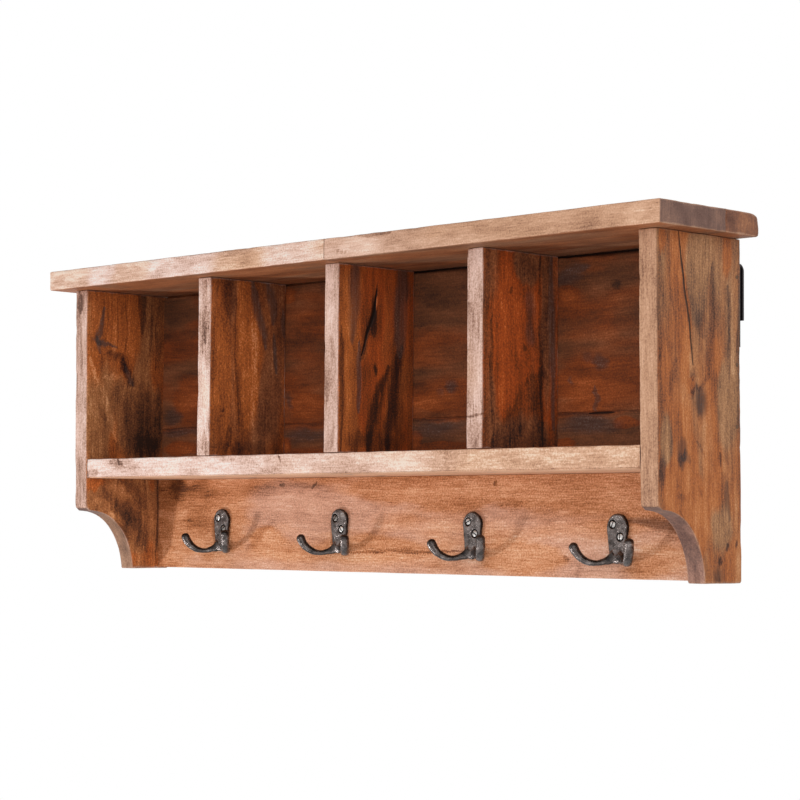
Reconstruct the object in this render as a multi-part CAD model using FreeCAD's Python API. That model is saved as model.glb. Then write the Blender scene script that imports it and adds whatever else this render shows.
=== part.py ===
import FreeCAD, Part
import math
import os

# Wall coat rack: a case of solid boards with four cubbies under a top board, over a rail
# that carries four cast double hooks. Two bent steel hangers on the back hold it on a wall.
# Millimetres. +X runs right along the rack, +Y points at the wall and +Z is up. The origin
# lies on the wall, midway between the keyholes of the two hangers.

os.makedirs("parts", exist_ok=True)
V = FreeCAD.Vector

# Top board, glued up from two front planks and one rear plank
top_length = 900.0
top_thickness = 22.0
top_end_overhang = 22.0
top_front_overhang = 25.0
top_front_plank_depth = 95.0
top_butt_offset = 15.0
top_edge_round = 2.0
top_back_round = 8.0

# Side panels: a straight front edge, then a cove down to a narrower foot
case_depth = 119.0
side_thickness = 21.0
side_height = 318.0
side_front_height = 252.0
side_foot_depth = 51.0
side_corner_round = 7.0
board_edge_round = 1.5

# Cubbies, their back and the hook rail under them
cubby_height = 193.0
shelf_thickness = 22.0
shelf_nose_round = 4.0
divider_count = 3
end_cubby_width = 194.5
divider_thickness = 21.0
back_thickness = 10.0
back_top_gap = 2.0
back_seam_drop = 155.0
back_seam_gap = 0.6
rail_thickness = 15.0
rail_foot_gap = 1.5

# Cast hooks: a tapered plate, a neck and two prongs that follow an arc out and up
hook_count = 4
hook_end_distance = 114.5
hook_drop = 36.0
hook_plate_height = 47.0
hook_plate_thickness = 4.0
hook_head_radius = 12.0
hook_foot_radius = 7.0
hook_edge_round = 1.4
hook_neck_radius = 6.6
prong_spread_angle = 55.0
prong_arc_radius = 25.0
prong_arc_reach = 17.0
prong_arc_drop = 22.6
prong_start_angle = -30.0
prong_end_angle = 68.0
prong_root_radius = 4.2
prong_waist_radius = 2.5
prong_end_radius = 3.8
prong_ball_radius = 4.2
# Places along a prong's arc, each with its share of the way from root to waist or waist to end
prong_root_side_shares = ((0.0, 0.0), (0.22, 0.7), (0.42, 1.0))
prong_end_side_shares = ((0.7, 0.45), (1.0, 1.0))
# Hooks are set by eye: how far each one strays right and up, as shares of the plate's height
hook_stray_shares = ((0.06, 0.05), (0.06, 0.05), (0.12, -0.02), (0.05, -0.06))
# Screw places on a hook: shares of the head's radius across, and of the plate's height down
hook_screw_shares = ((-0.43, 0.22), (0.35, 0.475))

# Hangers: a strip bent over at the top, with a keyhole in the leg that lies on the wall
hanger_drop = 21.0
hanger_width = 18.0
hanger_strip_thickness = 2.0
hanger_standoff = 7.5
hanger_outer_leg = 54.0
hanger_inner_leg = 79.0
keyhole_drop = 37.0
keyhole_radius = 4.75
keyhole_slot_width = 4.5
keyhole_slot_length = 12.0
# Hanger screws, as shares of the part of the inner leg that shows under the outer leg
hanger_screw_shares = (0.3, 0.7)

# Fasteners
fastener_clearance = 0.1
case_screw_radius = 2.5
case_screw_head_radius = 4.6
shelf_screw_length = 50.0
rail_screw_length = 50.0
divider_screw_length = 60.0
plug_radius = 4.6
plug_depth = 4.0
small_screw_radius = 1.75
small_screw_head_radius = 3.4
small_screw_slot_width = 0.8
small_screw_slot_depth = 0.9
hook_screw_length = 16.0
hanger_screw_length = 25.0
dowel_radius = 4.0
dowel_length = 34.0
dowel_top_depth = 12.0
nail_radius = 0.9
nail_head_radius = 1.9
nail_head_height = 0.8
nail_length = 34.0
screw_point_share = 2.0

# Fastener places, as shares of the size that carries them: for dowels and divider screws
# that is the depth in front of the points of the back nails
dowel_depth_shares = (0.35, 0.92)
divider_screw_depth_shares = (0.3, 0.85)
shelf_screw_depth_shares = (0.26, 0.77)
rail_screw_height_shares = (0.335, 0.75)
upper_nail_height_shares = (0.22, 0.75)

# Helpers for cuts and edge choice
overrun = 1.0
tiny = 0.001
full_turn = 360.0

# Sizes and places worked out from the others
case_width = top_length - 2 * top_end_overhang
nail_free_depth = case_depth - nail_length
case_back = -hanger_standoff
case_front = case_back - case_depth
case_top = hanger_drop + keyhole_drop
case_foot = case_top - side_height
top_front = case_front - top_front_overhang
shelf_top = case_top - cubby_height
shelf_under = shelf_top - shelf_thickness
back_front = case_back - back_thickness
back_top = case_top - back_top_gap
back_seam = case_top - back_seam_drop
rail_front = case_back - rail_thickness
rail_foot = case_foot + rail_foot_gap
inner_half = case_width / 2 - side_thickness
side_centre = case_width / 2 - side_thickness / 2
divider_reach = inner_half - end_cubby_width - divider_thickness / 2
hook_reach = inner_half - hook_end_distance
hook_top = shelf_under - hook_drop
sides = (-1, 1)


# Rows of like pieces

def evenly(count, reach):
    """Places from minus reach to plus reach, the same distance apart."""
    return [reach * (2 * index / (count - 1) - 1) for index in range(count)]


def hook_places():
    """The middle of each plate's top edge, where it meets the rail."""
    places = []
    for x, (right, up) in zip(evenly(hook_count, hook_reach), hook_stray_shares):
        stray = V(right * hook_plate_height, 0, up * hook_plate_height)
        places.append(V(x, rail_front, hook_top) + stray)
    return places


divider_centres = evenly(divider_count, divider_reach)


# Basic shapes

def block(x, y, z):
    """A box between three pairs of limits."""
    return Part.makeBox(x[1] - x[0], y[1] - y[0], z[1] - z[0], V(x[0], y[0], z[0]))


def line(start, end):
    return Part.LineSegment(start, end).toShape()


def arc(start, middle, end):
    return Part.Arc(start, middle, end).toShape()


def turned(profile):
    """A solid of revolution about +Z, from points of radius and height."""
    points = [V(radius, 0, height) for radius, height in profile]
    face = Part.Face(Part.makePolygon(points + points[:1]))
    return face.revolve(V(0, 0, 0), V(0, 0, 1), full_turn)


def aimed(shape, place, direction):
    """A copy of a shape that was made along +Z, moved to a place and turned to a direction."""
    copy = shape.copy()
    copy.Placement = FreeCAD.Placement(place, FreeCAD.Rotation(V(0, 0, 1), direction))
    return copy


def rounded_outline(corners):
    """A closed wire in the YZ plane, with each corner of (y, z, radius) rounded."""
    places = [V(0, y, z) for y, z, radius in corners]
    turns = []
    for index, (y, z, radius) in enumerate(corners):
        here = places[index]
        before = (places[index - 1] - here).normalize()
        after = (places[(index + 1) % len(places)] - here).normalize()
        half_angle = before.getAngle(after) / 2
        run = radius / math.tan(half_angle)
        middle = (before + after).normalize() * (radius / math.sin(half_angle) - radius)
        turns.append((here + before * run, here + middle, here + after * run))
    edges = []
    for index, (start, middle, end) in enumerate(turns):
        edges.append(arc(start, middle, end))
        edges.append(line(end, turns[(index + 1) % len(turns)][0]))
    return Part.Wire(edges)


def eased(shape, radius, chosen):
    """The shape with the edges that pass a test rounded over."""
    return shape.makeFillet(radius, [edge for edge in shape.Edges if chosen(edge.BoundBox)])


def drilled(shape, holes):
    """The shape with every hole that comes near it cut out."""
    near = [hole for hole in holes if hole.BoundBox.intersect(shape.BoundBox)]
    return shape.cut(near) if near else shape


# Fasteners: each function takes a clearance, so the same form makes the piece and its hole

def screw(radius, head_radius, length, clearance=0.0):
    """A countersunk screw, or its hole, with its head at the origin and its point along +Z."""
    outer = radius + clearance
    point_start = length - radius * screw_point_share
    return turned([
        (0, 0),
        (head_radius + clearance, 0),
        (outer, head_radius - radius),
        (outer, point_start),
        (0, length + clearance),
    ])


def slotted_screw(length):
    """A small countersunk screw with a slot across its head."""
    half_slot = small_screw_slot_width / 2
    reach = small_screw_head_radius + overrun
    slot = block((-reach, reach), (-half_slot, half_slot), (-overrun, small_screw_slot_depth))
    return screw(small_screw_radius, small_screw_head_radius, length).cut(slot)


def dowel(clearance=0.0):
    return Part.makeCylinder(dowel_radius + clearance, dowel_length + clearance)


def nail(clearance=0.0):
    """A flat-headed nail, or its hole, with its head at the origin and its point along +Z."""
    return turned([
        (0, 0),
        (nail_head_radius + clearance, 0),
        (nail_head_radius + clearance, nail_head_height),
        (nail_radius + clearance, nail_head_height),
        (nail_radius + clearance, nail_length - nail_radius * screw_point_share),
        (0, nail_length + clearance),
    ])


def plug(clearance=0.0):
    return Part.makeCylinder(plug_radius + clearance, plug_depth)


def dowel_places():
    """Dowels point down from inside the top, over every upright."""
    uprights = [side * side_centre for side in sides] + divider_centres
    for x in uprights:
        for share in dowel_depth_shares:
            y = case_front + nail_free_depth * share
            yield V(x, y, case_top + dowel_top_depth), V(0, 0, -1)


def outside_places(spots):
    """Places flush with the outside of both side panels, pointing inwards."""
    for side in sides:
        for y, z in spots:
            yield V(side * case_width / 2, y, z), V(-side, 0, 0)


def shelf_screw_spots():
    middle = (shelf_top + shelf_under) / 2
    return [(case_front + case_depth * share, middle) for share in shelf_screw_depth_shares]


def rail_screw_spots():
    height = shelf_under - rail_foot
    middle = (case_back + rail_front) / 2
    return [(middle, rail_foot + height * share) for share in rail_screw_height_shares]


def below_plugs(spots):
    """Screw places under the plugs: the same spots, at the bottom of each plug."""
    for place, direction in outside_places(spots):
        yield place + direction * plug_depth, direction


def divider_screw_places():
    for x in divider_centres:
        for share in divider_screw_depth_shares:
            yield V(x, case_front + nail_free_depth * share, shelf_under), V(0, 0, 1)


def upper_nail_heights():
    return [back_top - (back_top - back_seam) * share for share in upper_nail_height_shares]


def back_nail_places():
    """Nails from behind into dividers and shelf, and from the ends through the side panels."""
    lower_middle = (back_seam + shelf_top) / 2
    shelf_middle = (shelf_top + shelf_under) / 2
    for x in divider_centres:
        for z in upper_nail_heights() + [lower_middle]:
            yield V(x, case_back, z), V(0, -1, 0)
    for left, right in zip(divider_centres, divider_centres[1:]):
        yield V((left + right) / 2, case_back, shelf_middle), V(0, -1, 0)
    end_spots = [((case_back + back_front) / 2, z) for z in upper_nail_heights() + [lower_middle]]
    yield from outside_places(end_spots)


def hook_screw_places():
    for place in hook_places():
        for across, down in hook_screw_shares:
            spot = V(across * hook_head_radius, -hook_plate_thickness, -down * hook_plate_height)
            yield place + spot, V(0, 1, 0)


def hanger_screw_places():
    shown = hanger_inner_leg - hanger_outer_leg
    hanger_top = case_top - hanger_drop
    for side in sides:
        for share in hanger_screw_shares:
            z = hanger_top - hanger_outer_leg - shown * share
            yield V(side * side_centre, case_back + hanger_strip_thickness, z), V(0, -1, 0)


def set_out(shape, places):
    """Copies of a fastener at each of its places."""
    return [aimed(shape, place, direction) for place, direction in places]


def case_screw(length, clearance=0.0):
    return screw(case_screw_radius, case_screw_head_radius, length, clearance)


def small_hole(length):
    return screw(small_screw_radius, small_screw_head_radius, length, fastener_clearance)


def fasteners():
    """Every group of fasteners, by node name."""
    spots = shelf_screw_spots() + rail_screw_spots()
    return {
        "top_dowels": set_out(dowel(), dowel_places()),
        "shelf_screws": set_out(case_screw(shelf_screw_length), below_plugs(shelf_screw_spots())),
        "rail_screws": set_out(case_screw(rail_screw_length), below_plugs(rail_screw_spots())),
        "divider_screws": set_out(case_screw(divider_screw_length), divider_screw_places()),
        "screw_plugs": set_out(plug(), outside_places(spots)),
        "back_nails": set_out(nail(), back_nail_places()),
        "hook_screws": set_out(slotted_screw(hook_screw_length), hook_screw_places()),
        "hanger_screws": set_out(slotted_screw(hanger_screw_length), hanger_screw_places()),
    }


def fastener_holes():
    """The holes of every fastener, a clearance wider than the fastener."""
    gap = fastener_clearance
    spots = shelf_screw_spots() + rail_screw_spots()
    holes = set_out(dowel(gap), dowel_places())
    holes += set_out(case_screw(shelf_screw_length, gap), below_plugs(shelf_screw_spots()))
    holes += set_out(case_screw(rail_screw_length, gap), below_plugs(rail_screw_spots()))
    holes += set_out(case_screw(divider_screw_length, gap), divider_screw_places())
    holes += set_out(plug(gap), outside_places(spots))
    holes += set_out(nail(gap), back_nail_places())
    holes += set_out(small_hole(hook_screw_length), hook_screw_places())
    holes += set_out(small_hole(hanger_screw_length), hanger_screw_places())
    return holes


# Boards

def top_planks():
    """The top board with its edges rounded, cut along its glue lines into three planks."""
    upper = case_top + top_thickness
    outline = rounded_outline([
        (top_front, case_top, top_edge_round),
        (case_back, case_top, top_edge_round),
        (case_back, upper, top_back_round),
        (top_front, upper, top_edge_round),
    ])
    board = Part.Face(outline).extrude(V(top_length, 0, 0))
    board.translate(V(-top_length / 2, 0, 0))
    board = eased(board, top_edge_round, lambda box: box.XLength < tiny)
    seam = top_front + top_front_plank_depth
    ends = (-top_length / 2 - overrun, top_length / 2 + overrun)
    height = (case_top - overrun, upper + overrun)
    front = (top_front - overrun, seam)
    return {
        "top_front_left_plank": board.common(block((ends[0], top_butt_offset), front, height)),
        "top_front_right_plank": board.common(block((top_butt_offset, ends[1]), front, height)),
        "top_rear_plank": board.common(block(ends, (seam, case_back + overrun), height)),
    }


def side_outline(x):
    """The end profile: front edge, rounded corner, cove, foot and back edge."""
    corner_low = case_top - side_front_height
    corner_back = case_front + side_corner_round
    foot_front = case_back - side_foot_depth
    diagonal = side_corner_round * (1 - math.sqrt(0.5))
    cove_run = foot_front - corner_back
    cove_drop = corner_low - case_foot
    cove_radius = (cove_run ** 2 + cove_drop ** 2) / (2 * cove_drop)
    half_turn = math.atan2(cove_run, cove_radius - cove_drop) / 2
    cove_middle = V(
        x,
        corner_back + cove_radius * math.sin(half_turn),
        corner_low - cove_radius * (1 - math.cos(half_turn)),
    )
    front_top = V(x, case_front, case_top)
    front_low = V(x, case_front, corner_low + side_corner_round)
    corner_middle = V(x, case_front + diagonal, corner_low + diagonal)
    cove_start = V(x, corner_back, corner_low)
    cove_end = V(x, foot_front, case_foot)
    back_foot = V(x, case_back, case_foot)
    back_top_corner = V(x, case_back, case_top)
    return Part.Wire([
        line(front_top, front_low),
        arc(front_low, corner_middle, cove_start),
        arc(cove_start, cove_middle, cove_end),
        line(cove_end, back_foot),
        line(back_foot, back_top_corner),
        line(back_top_corner, front_top),
    ])


def side_panel(side):
    inner_face = min(side * inner_half, side * case_width / 2)
    panel = Part.Face(side_outline(inner_face)).extrude(V(side_thickness, 0, 0))

    def shows(box):
        return box.XLength < tiny and box.ZMin < case_top - tiny

    return eased(panel, board_edge_round, shows)


def shelf_board():
    board = block((-inner_half, inner_half), (case_front, back_front), (shelf_under, shelf_top))

    def front_edge(height):
        return lambda box: box.YMax < case_front + tiny and abs(box.Center.z - height) < tiny

    board = eased(board, board_edge_round, front_edge(shelf_top))
    return eased(board, shelf_nose_round, front_edge(shelf_under))


def divider(x):
    half = divider_thickness / 2
    board = block((x - half, x + half), (case_front, back_front), (shelf_top, case_top))
    return eased(board, board_edge_round, lambda box: box.YMax < case_front + tiny and box.ZLength > tiny)


def back_plank(low, high):
    return block((-inner_half, inner_half), (back_front, case_back), (low, high))


def rail_board():
    board = block((-inner_half, inner_half), (rail_front, case_back), (rail_foot, shelf_under))
    return eased(board, board_edge_round, lambda box: box.ZMax < rail_foot + tiny and box.XLength > tiny)


def boards():
    """Every board, by node name, before its holes are drilled."""
    made = top_planks()
    made["left_side_panel"] = side_panel(-1)
    made["right_side_panel"] = side_panel(1)
    for name, x in zip(("left_divider", "middle_divider", "right_divider"), divider_centres):
        made[name] = divider(x)
    made["shelf"] = shelf_board()
    made["upper_back_plank"] = back_plank(back_seam, back_top)
    made["lower_back_plank"] = back_plank(shelf_under, back_seam - back_seam_gap)
    made["hook_rail"] = rail_board()
    return made


# Hooks

def hook_plate():
    """The plate that lies on the rail: two arcs of unlike size and the lines that touch both."""
    head_centre = -hook_head_radius
    foot_centre = hook_foot_radius - hook_plate_height
    slope = (hook_head_radius - hook_foot_radius) / (head_centre - foot_centre)
    across = math.sqrt(1 - slope ** 2)
    head_side = V(hook_head_radius * across, 0, head_centre - hook_head_radius * slope)
    foot_side = V(hook_foot_radius * across, 0, foot_centre - hook_foot_radius * slope)
    head_other = V(-head_side.x, 0, head_side.z)
    foot_other = V(-foot_side.x, 0, foot_side.z)
    outline = Part.Wire([
        arc(head_other, V(0, 0, 0), head_side),
        line(head_side, foot_side),
        arc(foot_side, V(0, 0, -hook_plate_height), foot_other),
        line(foot_other, head_other),
    ])
    plate = Part.Face(outline).extrude(V(0, -hook_plate_thickness, 0))
    return eased(plate, hook_edge_round, lambda box: box.YMax < tiny - hook_plate_thickness)


def prong_point(angle):
    """A place on the right prong's arc and the way the arc runs there."""
    turn = math.radians(angle)
    reach = prong_arc_reach + prong_arc_radius * math.sin(turn)
    start = V(0, -hook_plate_thickness, -prong_arc_drop - prong_arc_radius * math.cos(turn))
    outward = prong_outward()
    return start + outward * reach, outward * math.cos(turn) + V(0, 0, math.sin(turn))


def prong_outward():
    spread = math.radians(prong_spread_angle)
    return V(math.sin(spread), -math.cos(spread), 0)


def prong_sections():
    """Shares of the way along a prong, each with the prong's radius there."""
    to_waist = prong_waist_radius - prong_root_radius
    to_end = prong_end_radius - prong_waist_radius
    sections = [(along, prong_root_radius + to_waist * share) for along, share in prong_root_side_shares]
    return sections + [(along, prong_waist_radius + to_end * share) for along, share in prong_end_side_shares]


def prong():
    """The right prong: circles set along its arc and lofted, with a ball at the tip."""
    sweep = prong_end_angle - prong_start_angle
    level = prong_outward().cross(V(0, 0, 1))
    wires = []
    for along, radius in prong_sections():
        place, direction = prong_point(prong_start_angle + sweep * along)
        turn = FreeCAD.Rotation(level, direction.cross(level), direction, "ZXY")
        wire = Part.Wire(Part.makeCircle(radius))
        wire.Placement = FreeCAD.Placement(place, turn)
        wires.append(wire)
    tip, direction = prong_point(prong_end_angle)
    return Part.makeLoft(wires, True).fuse(Part.makeSphere(prong_ball_radius, tip))


def hook():
    """One cast double hook, with the middle of its plate's top edge at the origin."""
    foot_centre = V(0, -hook_plate_thickness, hook_foot_radius - hook_plate_height)
    neck = Part.makeSphere(hook_neck_radius, foot_centre)
    reach = hook_neck_radius + overrun
    behind = block((-reach, reach), (0, reach), (-hook_plate_height - reach, 0))
    right = prong()
    left = right.mirror(V(0, 0, 0), V(1, 0, 0))
    return hook_plate().fuse([neck, left, right]).cut(behind).removeSplitter()


# Hangers

def hanger(side):
    """A strip bent over at the top: a leg on the panel, a bend, and a leg on the wall."""
    x = side * side_centre - hanger_width / 2
    strip = hanger_strip_thickness
    bend = hanger_standoff / 2
    bend_top = case_top - hanger_drop
    bend_low = bend_top - bend
    inner_low = bend_top - hanger_inner_leg
    outer_low = bend_top - hanger_outer_leg
    outline = Part.Wire([
        line(V(x, case_back, inner_low), V(x, case_back, bend_low)),
        arc(V(x, case_back, bend_low), V(x, -bend, bend_top), V(x, 0, bend_low)),
        line(V(x, 0, bend_low), V(x, 0, outer_low)),
        line(V(x, 0, outer_low), V(x, -strip, outer_low)),
        line(V(x, -strip, outer_low), V(x, -strip, bend_low)),
        arc(V(x, -strip, bend_low), V(x, -bend, bend_top - strip), V(x, case_back + strip, bend_low)),
        line(V(x, case_back + strip, bend_low), V(x, case_back + strip, inner_low)),
        line(V(x, case_back + strip, inner_low), V(x, case_back, inner_low)),
    ])
    bent = Part.Face(outline).extrude(V(hanger_width, 0, 0))
    return bent.cut(keyhole(side * side_centre))


def keyhole(x):
    """A round hole for a screw head, with a slot above it for the screw's neck."""
    front = -hanger_strip_thickness - overrun / 2
    depth = overrun / 2 - front
    half_slot = keyhole_slot_width / 2
    entry = Part.makeCylinder(keyhole_radius, depth, V(x, front, 0), V(0, 1, 0))
    slot = block((x - half_slot, x + half_slot), (front, front + depth), (0, keyhole_slot_length))
    slot_end = Part.makeCylinder(half_slot, depth, V(x, front, keyhole_slot_length), V(0, 1, 0))
    return entry.fuse([slot, slot_end]).removeSplitter()


# The whole rack

def rack():
    """Every node's shape, by name."""
    holes = fastener_holes()
    nodes = {name: drilled(board, holes) for name, board in boards().items()}
    casting = hook()
    for number, place in enumerate(hook_places(), start=1):
        placed = casting.copy()
        placed.translate(place)
        nodes[f"coat_hook_{number}"] = drilled(placed, holes)
    nodes["left_hanger"] = drilled(hanger(-1), holes)
    nodes["right_hanger"] = drilled(hanger(1), holes)
    for name, solids in fasteners().items():
        nodes[name] = Part.makeCompound(solids)
    return nodes


for name, shape in rack().items():
    if not shape.isValid():
        raise ValueError(f"{name} is not a valid shape")
    shape.exportStep(f"parts/{name}.step")
    print(f"{name}: {len(shape.Solids)} solid(s), {shape.Volume:.0f} cubic mm")
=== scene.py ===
"""Dresses the wall coat rack: worn boards, cast double hooks, slotted screws and a plain studio."""

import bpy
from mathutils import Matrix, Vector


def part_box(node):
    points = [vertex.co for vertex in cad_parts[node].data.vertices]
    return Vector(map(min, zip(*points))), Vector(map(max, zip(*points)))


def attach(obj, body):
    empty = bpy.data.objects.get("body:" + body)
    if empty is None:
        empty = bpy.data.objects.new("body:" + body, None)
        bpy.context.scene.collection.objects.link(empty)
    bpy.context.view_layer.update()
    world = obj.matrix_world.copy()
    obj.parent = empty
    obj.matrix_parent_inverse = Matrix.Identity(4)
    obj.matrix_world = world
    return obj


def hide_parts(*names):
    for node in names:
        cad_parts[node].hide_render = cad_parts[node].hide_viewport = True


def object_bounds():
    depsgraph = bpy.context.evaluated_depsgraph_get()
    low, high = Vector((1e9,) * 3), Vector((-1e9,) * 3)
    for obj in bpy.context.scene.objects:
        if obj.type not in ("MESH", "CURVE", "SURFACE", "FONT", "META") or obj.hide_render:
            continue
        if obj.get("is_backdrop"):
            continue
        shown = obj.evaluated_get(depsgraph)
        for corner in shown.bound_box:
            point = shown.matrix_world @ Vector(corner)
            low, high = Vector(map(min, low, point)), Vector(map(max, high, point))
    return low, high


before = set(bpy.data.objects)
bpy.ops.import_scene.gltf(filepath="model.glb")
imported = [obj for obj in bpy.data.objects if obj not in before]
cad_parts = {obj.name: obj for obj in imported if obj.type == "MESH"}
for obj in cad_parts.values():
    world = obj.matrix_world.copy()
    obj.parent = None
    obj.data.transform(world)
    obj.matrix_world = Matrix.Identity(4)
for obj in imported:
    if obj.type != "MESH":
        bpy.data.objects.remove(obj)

import inspect
import itertools
import math
from dataclasses import dataclass, replace

import bpy
import numpy as np
from mathutils import Matrix, Vector

cad_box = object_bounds()
mm = 0.001

# Sizes in millimetres, as in the part's source
case_front, case_back = -126.5, -7.5
case_top, case_foot = 58.0, -260.0
rail_front = -22.5
panel_front_height = 252.0
panel_corner_round = 7.0
panel_foot_depth = 51.0
hanger_top = 37.0
hook_places = ((-289.68, -190.65), (-94.68, -190.65), (103.14, -193.94), (294.85, -195.82))
hook_screw_spots = ((-5.16, -10.34), (4.2, -22.33))

# Wear and the meshes that show it, in millimetres
board_edge = 1.5
widest_wear = 1.9
press_depth = 0.3
lattice_step = 4.0
edge_reach = 12.0
never_an_edge = 99.0
panel_rim = 10.0
lip_root = 3.0
lip_edge = 0.3
hanger_slope = 4.5


# Small numeric helpers

def eased(share):
    """A share from 0 to 1 with an easy start and end."""
    return share * share * (3 - 2 * share)


def soft_step(value, start, end):
    """0 at start, 1 at end, with an easy curve between."""
    return eased(np.clip((value - start) / (end - start), 0, 1))


def unit(vectors):
    """Each row at length 1."""
    return vectors / np.maximum(np.linalg.norm(vectors, axis=1), 1e-9)[:, None]


def cell_value(cells, seed):
    """A steady number from 0 to 1 for each whole-number cell."""
    mixed = np.sin(cells @ np.array([127.1, 311.7, 74.7]) + seed * 57.31) * 43758.5453
    return mixed - np.floor(mixed)


def lumps(points, size, seed):
    """Soft noise from -1 to 1, with lumps about one size across."""
    scaled = points / size
    base = np.floor(scaled)
    share = eased(scaled - base)
    total = np.zeros(len(points))
    for corner in itertools.product((0, 1), repeat=3):
        weight = np.prod(np.where(corner, share, 1 - share), axis=1)
        total += weight * cell_value(base + corner, seed)
    return total * 2 - 1


# Objects and meshes

def add_object(name, data):
    made = bpy.data.objects.new(name, data)
    bpy.context.scene.collection.objects.link(made)
    return made


def add_mesh(name, points, faces, values=None):
    """A smooth-shaded mesh object from points in millimetres, with optional named values per point."""
    mesh = bpy.data.meshes.new(name)
    mesh.from_pydata((points * mm).tolist(), [], [tuple(face) for face in faces])
    mesh.update()
    mesh.shade_smooth()
    for key, numbers in (values or {}).items():
        layer = mesh.attributes.new(key, "FLOAT", "POINT")
        layer.data.foreach_set("value", numbers.astype(np.float32))
    return add_object(name, mesh)


def stand_for(piece, finish, slot, *nodes):
    """The piece gets its finish, rides on the rack and hides the solids it stands for."""
    piece.data.materials.append(finish)
    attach(piece, "root")
    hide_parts(*nodes)


def joined(x, y, z):
    """Points from their places along each axis, where one number can stand for all."""
    return np.stack(np.broadcast_arrays(x, y, z), axis=-1)


def merged(meshes):
    """Several pairs of points and faces as one."""
    faces, count = [], 0
    for some_points, some_faces in meshes:
        faces += [tuple(int(corner) + count for corner in face) for face in some_faces]
        count += len(some_points)
    return np.concatenate([points for points, _ in meshes]), faces


def grid_quads(number):
    """The quads between the points of a numbered grid."""
    corners = [number[:-1, :-1], number[1:, :-1], number[1:, 1:], number[:-1, 1:]]
    return np.stack(corners, axis=-1).reshape(-1, 4)


def lattice_lines(low, high, edge):
    """Lattice places along one axis: close together over the worn edges, then about one step apart."""
    near = edge * np.array([0, 0.1, 0.28, 0.55])
    count = max(1, round((high - low - 2 * edge) / lattice_step))
    middle = np.linspace(low + edge, high - edge, count + 1)
    return np.concatenate([low + near, middle, (high - near)[::-1]])


def lattice_block(lines):
    """The six sides of a block as shared points and outward quads."""
    sizes = [len(places) for places in lines]
    number = np.arange(math.prod(sizes)).reshape(sizes)
    quads = []
    for axis, end in itertools.product(range(3), (0, -1)):
        side = grid_quads(np.take(number, end, axis=axis))
        quads.append(side if (axis == 1) == (end == 0) else side[:, ::-1])
    used, faces = np.unique(np.concatenate(quads), return_inverse=True)
    grid = np.stack(np.meshgrid(*lines, indexing="ij"), axis=-1).reshape(-1, 3)
    return grid[used], faces.reshape(-1, 4)


def grown(low, high, growth):
    """The block's corners with some of its sides moved outward."""
    low, high = low.copy(), high.copy()
    for (axis, end), amount in growth:
        if end:
            high[axis] += amount
        else:
            low[axis] -= amount
    return low, high


def wear_radius(points, board):
    """How round an edge near each point is worn: unevenly, with nibbles and a few listed chips."""
    seed = board.seed
    nibbles = soft_step(lumps(points, 13, seed + 5), 0.25, 0.75)
    waver = 0.85 + 0.4 * lumps(points, 26, seed) + 0.3 * lumps(points, 7, seed + 1)
    radius = board.edge * np.clip(waver + nibbles, 0.4, widest_wear)
    for place, reach, depth in board.chips:
        away = np.linalg.norm(points - np.array(place), axis=1)
        radius = radius + depth * soft_step(away, reach, 0.2 * reach)
    return radius


def worn_block(low, high, board):
    """A block with worn, unevenly rounded edges and a surface pressed in here and there.

    Gives its points, its faces and how far each point lies from an edge."""
    seed = board.seed
    low, high = grown(low, high, board.grow)
    widest = max([board.edge * widest_wear] + [size for _, _, size in board.rounds])
    points, faces = lattice_block([lattice_lines(*ends, widest) for ends in zip(low, high)])
    gaps = np.stack([points - low, high - points], axis=-1)
    radius = np.minimum(wear_radius(points, board), widest)
    radii = np.stack([radius] * 3, axis=-1)
    arris = gaps.copy()
    for first, second, size in board.rounds:
        near = (gaps[:, first[0], first[1]] <= size) & (gaps[:, second[0], second[1]] <= size)
        for axis, _ in (first, second):
            radii[near, axis] = size
        if size == glued:
            arris[:, first[0], first[1]] = never_an_edge
    inner = np.clip(points, low + radii, high - radii)
    outward = unit((points - inner) / radii)
    press = press_depth * (0.55 + 0.3 * lumps(points, 55, seed + 2) + 0.15 * lumps(points, 9, seed + 3))
    edge_distance = np.sort(arris.reshape(len(points), 6), axis=1)[:, 1]
    return inner + outward * radii - outward * press[:, None], faces, np.minimum(edge_distance, edge_reach)


def bracket_edge(down, corner_start, fill):
    """Where a panel's front edge runs, for distances down a plain board: a small round, then a hollow.

    The fill leaves wood standing half way down the hollow and at the foot."""
    cove_start = Vector((case_front + panel_corner_round, case_top - panel_front_height))
    cove_end = Vector((case_back - panel_foot_depth, case_foot))
    drop = cove_start.y - cove_end.y
    across = cove_end.x - cove_start.x
    radius = (drop * drop + across * across) / (2 * drop)
    swing = math.acos(1 - drop / radius)
    corner_length = panel_corner_round * math.pi / 2
    curve_length = corner_length + radius * swing
    curve_height = case_top - case_foot - corner_start
    run = np.clip((down - corner_start) / curve_height, 0, 1) * curve_length
    turn = np.clip(run / panel_corner_round, 0, math.pi / 2)
    bend = np.clip((run - corner_length) / radius, 0, swing)
    front_y = case_front + panel_corner_round * (1 - np.cos(turn)) + radius * np.sin(bend)
    front_z = case_top - np.minimum(down, corner_start)
    front_z = front_z - panel_corner_round * np.sin(turn) - radius * (1 - np.cos(bend))
    share = np.clip((cove_start.y - front_z) / drop, 0, 1)
    return front_y - fill[0] * np.sin(math.pi * share) - fill[1] * share ** 2, front_z


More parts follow.
